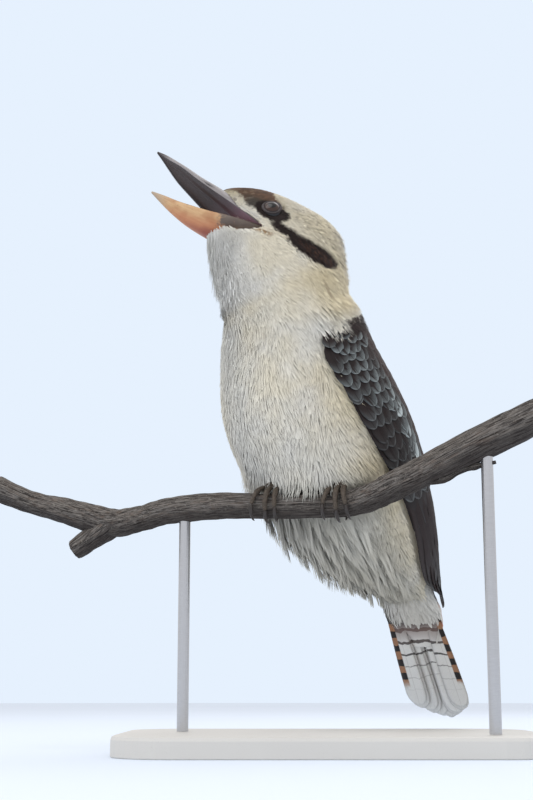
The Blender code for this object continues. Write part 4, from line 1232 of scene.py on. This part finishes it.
def fringe():
    """Loose hanging feathers, each a lock of thin strands that close up to a point."""
    places = []
    for row, (t, first, last, count, reach) in enumerate(FRINGE_ROWS):
        for k in range(count):
            wave = math.sin(2.7 * k + 1.9 * row)
            angle = first + (last - first) * (k + 0.35 * wave) / (count - 1)
            places.append((t + 0.18 * math.sin(5.1 * k + row), angle, reach * (1 + 0.18 * wave)))
    table = np.repeat(np.array(places), FRINGE_STRANDS, 0)
    count = len(table)
    spoke = np.tile(np.linspace(-1, 1, FRINGE_STRANDS), len(places))
    jitter = CHANCE.normal(size=(4, count))
    lock = np.repeat(CHANCE.random(len(places)), FRINGE_STRANDS)
    own = lock * 0.7 + 0.3 * CHANCE.random(count)
    t, angle = table[:, 0] + 0.03 * jitter[0], table[:, 1] + spoke * 3.0
    length = table[:, 2] * MM * (1 - 0.22 * spoke**2 + 0.05 * jitter[1])
    half = np.full(count, 0.8 * MM) * (1 + 0.15 * jitter[2])
    turn = -spoke * 0.10 + 0.02 * jitter[3]
    root, tip = np.full(count, -2.4 * MM), np.full(count, 0.8 * MM)
    lift, droop = (2.0 + 5.0 * lock) * MM, (2.0 + 4.0 * lock) * MM
    steps = (0.0, 0.35, 0.65, 0.88, 1.0)
    path, out, along, across = lay(body, t, angle, length, turn, root, tip, lift, droop, steps)
    kept = from_branch(path)[0].min(1) > 0.6 * MM
    widths = half[:, None] * np.array([0.8, 1.0, 0.8, 0.45, 0.04])
    lie = lie_at(along / FACE, across)
    roots = ((t / FACE)[kept], (angle % 360 / 360)[kept])
    coat_piece(
        "loose_belly_feathers", path[kept], out[kept], widths[kept], widths[kept] * 0.4,
        lie[kept], own[kept], roots, steps, plumes_of_body,
    )


# Bill


def bill_half(name, upper, finish, stands_for):
    """One half of the bill: an arch outside, a hollow inside, tapering from the gape to the tip.

    The outer arch is a flattened ellipse, the inner one shallower with a low ridge down its
    middle, and a smooth curve through the sections carries both along the bill. The upper half
    has a nostril slit on each side and a shallow groove. The horn mark gives the share of the
    length, the place across and whether it is the inside, and the pit mark the depth of the
    nostril and the height in millimetres.
    """
    forward, left, out, length, sections = bill_axes(upper)
    rows = rows_at(sections, np.linspace(0, len(sections) - 1, 130))
    share, half, depth, hollow, drop = (rows[:, k : k + 1] * (1 if k == 0 else MM) for k in range(5))
    turn = np.linspace(0, math.pi, 41)[None]
    x = np.sign(np.cos(turn)) * np.abs(np.cos(turn)) ** (2 / BILL_ROUND)
    y = np.sin(turn) ** (2 / BILL_ROUND)
    across, height = x * half, y * depth
    pit = np.zeros(across.shape)
    if upper:
        off_top = np.abs(np.degrees(turn) - 90)
        pit = np.exp(-(((share - 0.53) / 0.045) ** 2 + ((off_top - 73) / 7) ** 2) * 1.2)
        across = across * (1 - 0.09 * pit)
        grooved = np.exp(-((off_top / 90) ** 2 - 0.5) ** 2 / 0.02)
        height = height * (1 - 0.025 * grooved)
    inner_turn = turn[:, ::-1][:, 1:-1]
    inner_half = np.maximum(half - 0.8 * MM, half * 0.5)
    inner_across = np.cos(inner_turn) * inner_half
    ridge = np.exp(-((inner_across / (1.4 * MM)) ** 2)) * 0.25
    inner_height = np.sin(inner_turn) ** 0.8 * hollow * (1 - ridge)
    across = np.concatenate([across, inner_across], 1)
    height = np.concatenate([height, inner_height], 1)
    centre = GAPE + forward * (share * length) - out * drop
    rings = centre[:, None] + left * across[..., None] + out * height[..., None]
    inside = np.concatenate([np.zeros(pit.shape), np.ones(inner_across.shape)], 1)
    spread_of = np.concatenate([np.broadcast_to(x, pit.shape), np.cos(inner_turn) + 0 * share], 1)
    pits = np.concatenate([pit, 0 * inner_across], 1)
    horn, nostril = [share + 0 * across, spread_of, inside], [pits, height / MM, pits]
    marks = {"horn": np.stack(horn, -1), "pit": np.stack(nostril, -1)}
    tip = GAPE + forward * length * 1.004 + out * 0.3 * MM
    over_rings(name, rings, finish, stands_for, marks, (rings[0].mean(0), tip))


def horn_lines(finish, along, around, flake_scale):
    """The horn mark's values, with lines drawn out along the horn and fine flakes, both as noise."""
    share, across, inside = finish.mark("horn")
    lines = finish.noise(1.0, 3.0, at=finish.vector(share * along, across * around, inside * 5))
    return share, abs(across), inside.eased(0.4, 0.6), lines, finish.noise(flake_scale, 3.0, 0.6)


def upper_horn():
    """Dark grey-brown horn, paler along the ridge, with a dark brown palate that is pink behind."""
    finish = Finish("upper_horn", roughness=0.42, specular_ior_level=0.45)
    share, aside, inside, lines, flakes = horn_lines(finish, 9, 14, 340)
    pit, _, _ = finish.mark("pit")
    side = finish.layers(
        finish.mix(lines, paint(112, 106, 106), paint(154, 149, 149)),
        (aside.eased(0.95, 0.5) * flakes.eased(0.35, 0.65) * 0.7, paint(190, 186, 186)),
        (share.eased(0.86, 0.99), paint(52, 44, 44)),
        # painted shade: the nostril near-black for the shade down in its opening
        (pit, paint(20, 16, 16)),
    )
    palate = finish.layers(
        finish.mix(lines, paint(46, 37, 35), paint(78, 64, 60)),
        (share.eased(0.52, 0.22), paint(104, 82, 88)),
        (share.eased(0.34, 0.14), paint(172, 130, 146)),
        (aside.eased(0.90, 0.98) * share.eased(0.06, 0.3) * 0.8, paint(40, 33, 33)),
    )
    height = lines * 0.6 + flakes * 0.4
    return finish.done(finish.mix(inside, side, palate), 0.36 + flakes * 0.2, height, 0.25 * MM, 0.6)


def lower_horn():
    """Orange-tan horn: a dark grey patch at the base, specks at the edge and a reddish keel."""
    finish = Finish("lower_horn", roughness=0.42, specular_ior_level=0.45)
    share, aside, inside, lines, flakes = horn_lines(finish, 8, 12, 420)
    _, height, _ = finish.mark("pit")
    patchy = finish.noise(90, 2.0)
    near = (share + patchy * 0.5 + flakes * 0.3).eased(0.84, 0.72)
    specks = flakes.eased(0.64, 0.70) * height.eased(3.4, 1.0) * share.within(0.45, 0.55, 0.8, 0.9)
    side = finish.layers(
        finish.mix(lines, paint(172, 127, 82), paint(222, 188, 144)),
        (patchy.eased(0.45, 0.72) * 0.65, paint(158, 102, 66)),
        (height.eased(3.0, 8.0) * 0.75, paint(190, 116, 78)),
        (aside.eased(0.5, 0.1) * share.eased(0.75, 0.45) * 0.7, paint(150, 78, 62)),  # keel
        (share.eased(0.78, 0.98) * 0.8, paint(166, 150, 132)),  # tip
        (near * (aside + patchy * 0.3).eased(0.74, 0.95) * 0.9, paint(80, 74, 73)),
        (share.eased(0.50, 0.42) * aside.eased(0.6, 0.3) * 0.6, paint(140, 66, 54)),  # chin
        (specks, paint(64, 52, 48)),
    )
    floor = finish.mix(lines, paint(150, 110, 96), paint(178, 136, 118))
    height = lines * 0.6 + flakes * 0.4
    return finish.done(finish.mix(inside, side, floor), 0.36 + flakes * 0.2, height, 0.2 * MM, 0.5)


# Eyes


def eyes():
    """Glossy dark eyes in rings of bare lid.

    The eyeball bulges over the pupil. The lid is a ring of small circles round it, thicker in
    front and behind, with low folds.
    """
    look = Finish("eye_gloss", roughness=0.12, coat_weight=0.3, coat_roughness=0.03, specular_ior_level=0.3)
    lean, around, _ = look.mark("gaze")
    rays = look.noise(1.0, 2.0, at=look.vector(around * 9, lean * 30, 0.0))
    colour = look.layers(
        look.mix(rays, paint(34, 20, 15), paint(66, 42, 32)),
        (lean.eased(0.20, 0.24), paint(18, 13, 12)),
        (lean.eased(0.125, 0.112), paint(6, 5, 6)),
    )
    gloss = look.done(colour)
    lid = Finish("bare_lid", roughness=0.5, specular_ior_level=0.4)
    grain = lid.noise(900, 2.0)
    lid_skin = lid.done(lid.mix(grain, paint(34, 28, 28), paint(70, 60, 60)), bump=grain, distance=0.15 * MM)
    for name, side in (("left", 1), ("right", -1)):
        centre, out = eye_centre(side)
        across = unit(np.cross(out, (0, 0, 1.0)))
        over = np.cross(across, out)
        lean, turn = np.linspace(0, math.pi, 50)[1:-1, None], circle(56)[None]
        bulge = 1 + 0.035 * np.exp(-((lean / 0.55) ** 2))
        ball = towards(lean, out, towards(turn, across, over))
        rings = centre + ball * EYE_RADIUS * bulge[..., None]
        marks = {"gaze": np.stack([lean / math.pi + 0 * turn, turn + 0 * lean, 0 * lean + 0 * turn], -1)}
        poles = (centre + out * EYE_RADIUS * 1.035, centre - out * EYE_RADIUS)
        over_rings(f"eyeball_{name}", rings, gloss, (f"eye_{name}",), marks, poles)
        count, sides = 72, 14
        a, b = circle(count)[:, None], circle(sides)[None]
        spoke = towards(a, across * 1.04, over)
        thick = (0.75 + 0.15 * np.cos(2 * a) + 0.06 * np.sin(9 * a) * np.sin(4 * a)) * MM
        middle = centre + out * 4.75 * MM + spoke * 5.2 * MM
        ring = middle + towards(b, spoke, out * 0.9) * thick[..., None]
        i, j = np.meshgrid(np.arange(count), np.arange(sides), indexing="ij")
        i2, j2 = (i + 1) % count, (j + 1) % sides
        quads = np.stack([i * sides + j, i * sides + j2, i2 * sides + j2, i2 * sides + j], -1)
        piece(f"eyelid_{name}", ring, [quads.reshape(-1, 4)], lid_skin)


# Feet


def toe_place(side, offset, angle, height):
    """Points round the branch by a foot: this far along it, at this angle, this high over the bark."""
    x = FEET[side] + np.asarray(offset, float)
    table = np.array(PERCH, float)
    t = np.interp(x, table[:, 0], np.arange(len(table)))
    centre, radius, along = branch_line(t)
    front = unit(np.cross(along, (0, 0, 1.0)))
    over = np.cross(front, along)
    out = towards(np.radians(np.asarray(angle, float)), over, front)
    return centre + out * (radius * 1.06 + height)[..., None]


def scutes(shares, count, height, turn):
    """Scales across the top, each rising to its front edge: a sawtooth along, a half sine across."""
    return height * (1 - (shares * count) % 1)[:, None] * np.clip(np.sin(turn), 0, 1)


def feet():
    """Tarsus and toes with raised scutes across their tops, pads below, and curved claws.

    Each toe is a tube round the branch with rounded ends, and each claw a tapering tube that
    carries on round the bark, arched off it by half a sine wave.
    """
    skin_of_foot = Finish("foot_skin", roughness=0.6, specular_ior_level=0.35)
    grain = skin_of_foot.noise(700, 3.0, 0.6)
    cells = {"Vector": skin_of_foot.place(), "Scale": 1100.0}
    scale = skin_of_foot.node("ShaderNodeTexVoronoi", {"feature": "F1"}, cells)
    tint = skin_of_foot.mix(grain, paint(62, 54, 48), paint(104, 92, 78))
    tint = skin_of_foot.mix(scale.eased(0.25, 0.75) * 0.5, tint, paint(40, 34, 31))
    hide = skin_of_foot.done(tint, bump=grain - scale, distance=0.2 * MM, strength=0.6)
    horn = Finish("claw_horn", roughness=0.35, specular_ior_level=0.5)
    lines = horn.noise(600, 2.0)
    tint = horn.mix(lines, paint(28, 23, 22), paint(62, 54, 49))
    nail = horn.done(tint, bump=lines, distance=0.1 * MM, strength=0.3)
    across_toe = (0.9, 0.3, 0.1)
    for side in FEET:
        for index, (offset, splay, start, end, thick) in enumerate(TOES):
            shares = np.linspace(0, 1, 60)
            radius = TOE_RADIUS * thick * TOE_SLIM
            place, angle = offset + (splay - offset) * shares, start + (end - start) * shares
            line = toe_place(side, place, angle, (radius + 0.6) * MM + 0 * shares)
            turn = circle(22)[None]
            pads = 1 + 0.10 * np.cos(shares * 4 * math.pi)[:, None]
            taper = (1 - 0.22 * shares)[:, None]
            ends = np.sqrt(np.clip(1 - ((shares - 0.5) / 0.515) ** 8, 0.02, 1))[:, None]
            widths = pads * taper * ends * (1 + scutes(shares, 11, 0.07, turn))
            rings = tube_rings(line, radius * MM * widths, 22, across_toe)
            over_rings(f"toe_{side}_{index + 1}", rings, hide)
            direction = 1 if end > start else -1
            radius = TOE_RADIUS * thick * CLAW_SLIM
            shares = np.linspace(0, 1, 26)
            _, perch_radius, _ = branch_line(9.5)
            sweep = math.degrees(CLAW_LENGTH * MM / (perch_radius + radius * MM)) * direction
            heights = (radius + 0.45 + 1.6 * np.sin(shares * math.pi * 0.9)) * MM
            line = toe_place(side, splay + 0.3 * shares, end + direction * 3.4 + sweep * shares, heights)
            widths = np.interp(shares, [0, 0.2, 0.4, 0.6, 0.8, 1], [0.92, 0.95, 0.8, 0.6, 0.38, 0.08])
            rings = tube_rings(line, radius * MM * widths, 16, across_toe)
            over_rings(f"talon_{side}_{index + 1}", rings, nail, (f"claw_{side}_{index + 1}",))
        knuckle = toe_place(side, 0.4, -4.0, 3.4 * MM)
        backward = -axes_at(LEG_HEADING, 0, 0)[0]
        top = knuckle + np.array([0, 0, 15 * MM]) + backward * 13 * MM
        shares = np.linspace(-0.08, 1, 50)
        line = knuckle + (top - knuckle) * shares[:, None]
        turn = circle(28)[None]
        radii = TARSUS_RADIUS * MM * np.interp(shares, [0, 0.25, 0.5, 1], [1.3, 1.1, 1.0, 1.05])[:, None]
        rings = tube_rings(line, radii * (1 + scutes(shares, 7, 0.06, turn)), 28, (1, 0, 0))
        over_rings(f"tarsus_{side}", rings, hide, (f"leg_{side}",))


# Branch and stand


def bark_finish():
    """Weathered grey-brown bark in long fibres, with cracks painted dark for their shade, fine pale flecks,
    and painted shade on the undersides.
    """
    finish = Finish("bark", roughness=0.9, specular_ior_level=0.2)
    run, cosine, sine = finish.mark("grain")

    def drawn_out(along, across):
        """A place in the wood, with its own scale along the grain and another one round it."""
        return finish.vector(run * along, cosine * across, sine * across)

    fibre = finish.noise(1.6, 5.0, 0.65, at=drawn_out(5.0, 9.0), warp=0.5)
    crack = finish.noise(1.3, 3.0, 0.6, at=drawn_out(2.6, 11.0), warp=0.8)
    blotch = finish.noise(0.9, 3.0, 0.6, at=drawn_out(7.0, 4.2))
    fine = finish.noise(900, 3.0, 0.6)
    colour = finish.layers(
        finish.mix(fibre.eased(0.34, 0.66), paint(46, 41, 39), paint(132, 126, 120)),
        (blotch.eased(0.5, 0.75) * 0.6, paint(112, 98, 88)),
        # painted shade: the cracks near-black for the shade down in them
        (crack.eased(0.47, 0.37) * 0.95, paint(28, 23, 21)),
        (fine.eased(0.58, 0.72) * 0.35, paint(176, 170, 160)),
        # painted shade: the underside of each stem darker
        (sine.eased(0.1, -0.8) * 0.7, paint(44, 39, 38)),
    )
    height = fibre * 0.5 + crack * 0.4 + fine * 0.2
    return finish.done(colour, bump=height, distance=0.9 * MM, strength=0.9)


# Waves round the stem and along it, and their size in millimetres.
BARK_WAVES = (
    (5, 0.9, 0.20), (9, 2.3, 0.16), (14, 1.1, 0.14), (21, 3.7, 0.10), (31, 2.9, 0.07), (3, 5.3, 0.12),
)


def rough_bark(run, turn, phase=0.0):
    """Low ridges and cracks along a stem, in millimetres: sums of slanted sine waves."""
    total = np.zeros(np.broadcast_shapes(run.shape, turn.shape))
    for k, (around, along, size) in enumerate(BARK_WAVES):
        bend = 0.8 * np.sin(run * 0.6 + k)
        total = total + size * np.sin(around * turn + along * run + 1.7 * k + phase + bend)
    return total


def stem(name, centres, radii, run, finish, stands_for=(), phase=0.0, sides=84):
    """A closed length of wood: ridged bark round a line, and two flat cut ends closed by rings."""
    turn = circle(sides)[None]
    radii = np.asarray(radii, float)
    radii = radii[:, None] if radii.ndim == 1 else radii
    surface = radii + rough_bark(run[:, None], turn, phase) * MM
    rings = tube_rings(centres, surface, sides)
    ends = []
    for end in (0, -1):
        middle = centres[end]
        ends.append([middle + (rings[end] - middle) * k for k in (0.97, 0.8, 0.6, 0.4, 0.2)])
    rings = np.concatenate([ends[0][::-1], rings, ends[1]])
    along = np.concatenate([[run[0]] * 5, run, [run[-1]] * 5])[:, None]
    marks = {"grain": np.stack(np.broadcast_arrays(along * 0.2, np.cos(turn), np.sin(turn)), -1)}
    return over_rings(name, rings, finish, stands_for, marks)


def branch():
    """The dead branch, its broken stub and the splinter under it."""
    finish = bark_finish()
    ts = np.linspace(0, len(PERCH) - 1, 560)
    centres, radii, _ = branch_line(ts)
    turn, t = circle(84)[None], ts[:, None]
    knots = 1 + 0.035 * np.sin(2 * turn + 1.7 * t) + 0.03 * np.sin(3 * turn - 2.3 * t + 1)
    stem("branch", centres, radii[:, None] * knots, ts * 2.2, finish, ("perch",))
    s = np.linspace(0, 1, 90)
    line = np.array(STUB_ROOT) * MM + (np.array(STUB_TIP) - np.array(STUB_ROOT)) * MM * s[:, None]
    widths = (STUB_RADII[0] + (STUB_RADII[1] - STUB_RADII[0]) * s) * MM * (1 + 0.03 * np.sin(9 * s))
    stem("branch_stub", line, widths, s * 3, finish, phase=2.0)
    line = rows_at(TWIG, np.linspace(0, 3, 90)) * MM
    widths = TWIG_RADIUS * MM * (1.6 - s) + 0.9 * MM * np.exp(-(((s - 0.78) / 0.06) ** 2)) - 0.25 * MM
    stem("branch_splinter", line, widths, s * 4, finish, phase=4.0, sides=32)


def stand():
    """Matt paint with a fine powder grain on the base, brushed metal on the rods."""
    paintwork = Finish("stand_paint", roughness=0.5, specular_ior_level=0.4)
    grain = paintwork.noise(1500, 2.0)
    cloud = paintwork.noise(14, 3.0)
    tint = paintwork.mix(cloud, paint(206, 203, 198), paint(214, 212, 207))
    tint = paintwork.mix(grain.eased(0.62, 0.74) * 0.35, tint, paint(188, 184, 178))
    coat = paintwork.done(tint, 0.44 + grain * 0.2, grain, 0.06 * MM, 0.5)
    metal = Finish("brushed_rod", roughness=0.3, metallic=1.0)
    x, y, z = metal.parts(metal.place())
    brushed = metal.noise(1.0, 3.0, at=metal.vector(x * 260, y * 260, z * 5000))
    steel = metal.mix(brushed, paint(176, 177, 180), paint(204, 205, 208))
    shine = metal.done(steel, 0.24 + brushed * 0.16, brushed, 0.04 * MM, 0.3)
    for name, finish, slot in (
        ("stand_base", coat, "stand"),
        ("stand_rod_left", shine, "rod"),
        ("stand_rod_right", shine, "rod"),
    ):
        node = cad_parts[name]
        node.data.materials.clear()
        node.data.materials.append(finish)


# Studio


def studio():
    """A pale floor in an even pale light, one broad soft lamp overhead, and the camera."""
    rim = towards(circle(96), np.array([4.0, 0, 0]), np.array([0, 4.0, 0]))
    mesh = bpy.data.meshes.new("floor")
    mesh.from_pydata([tuple(p) for p in rim], [], [tuple(range(96))])
    ground = Finish("floor_paper", roughness=0.9)
    cloud = ground.noise(3, 2.0)
    mesh.materials.append(ground.done(ground.mix(cloud, paint(223, 232, 244), paint(226, 235, 247))))
    put("floor", mesh)

    world = bpy.data.worlds.new("pale_light")
    world.use_nodes = True
    tree = world.node_tree
    light, seen = tree.nodes["Background"], tree.nodes.new("ShaderNodeBackground")
    light.inputs["Color"].default_value = paint(244, 244, 246)
    seen.inputs["Color"].default_value = paint(230, 241, 254)
    ray, choice = tree.nodes.new("ShaderNodeLightPath"), tree.nodes.new("ShaderNodeMixShader")
    tree.links.new(ray.outputs["Is Camera Ray"], choice.inputs[0])
    tree.links.new(light.outputs[0], choice.inputs[1])
    tree.links.new(seen.outputs[0], choice.inputs[2])
    tree.links.new(choice.outputs[0], tree.nodes["World Output"].inputs["Surface"])
    bpy.context.scene.world = world
    for name, place, size, power in (
        ("lamp_over", (-0.5, -0.7, 1.5), 1.4, 9.0),
        ("lamp_back", (0.7, 0.9, 1.2), 1.2, 4.0),
    ):
        lamp = bpy.data.lights.new(name, "AREA")
        lamp.shape, lamp.size, lamp.energy = "DISK", size, power
        holder = put(name, lamp)
        holder.location = place
        aim = np.array([0, 0, 0.22]) - np.array(place)
        flat = math.hypot(aim[0], aim[1])
        holder.rotation_euler = (math.atan2(flat, -aim[2]), 0, math.atan2(-aim[0], aim[1]))

    lens = bpy.data.cameras.new("camera")
    lens.lens, lens.sensor_width = 63.0, 36.0
    camera = put("camera", lens)
    camera.location = (-0.0384, -0.85, 0.035)
    camera.rotation_euler = (math.radians(90 + 11.8), 0, 0)
    bpy.context.scene.camera = camera
    bpy.context.scene.view_settings.view_transform = "Standard"


studio()
skin()
plumes_of_body = plumage("body_plumage", True)
coat_layer("body_feathers", VANES, plumes_of_body)
coat_layer("body_barbs", WISPS, plumes_of_body)
fringe()
wing("wing_left", 1)
wing("wing_right", -1)
tail()
tail_coverts()
bill_half("upper_bill_horn", True, upper_horn(), ("upper_bill",))
bill_half("lower_bill_horn", False, lower_horn(), ("lower_bill",))
eyes()
feet()
branch()
stand()
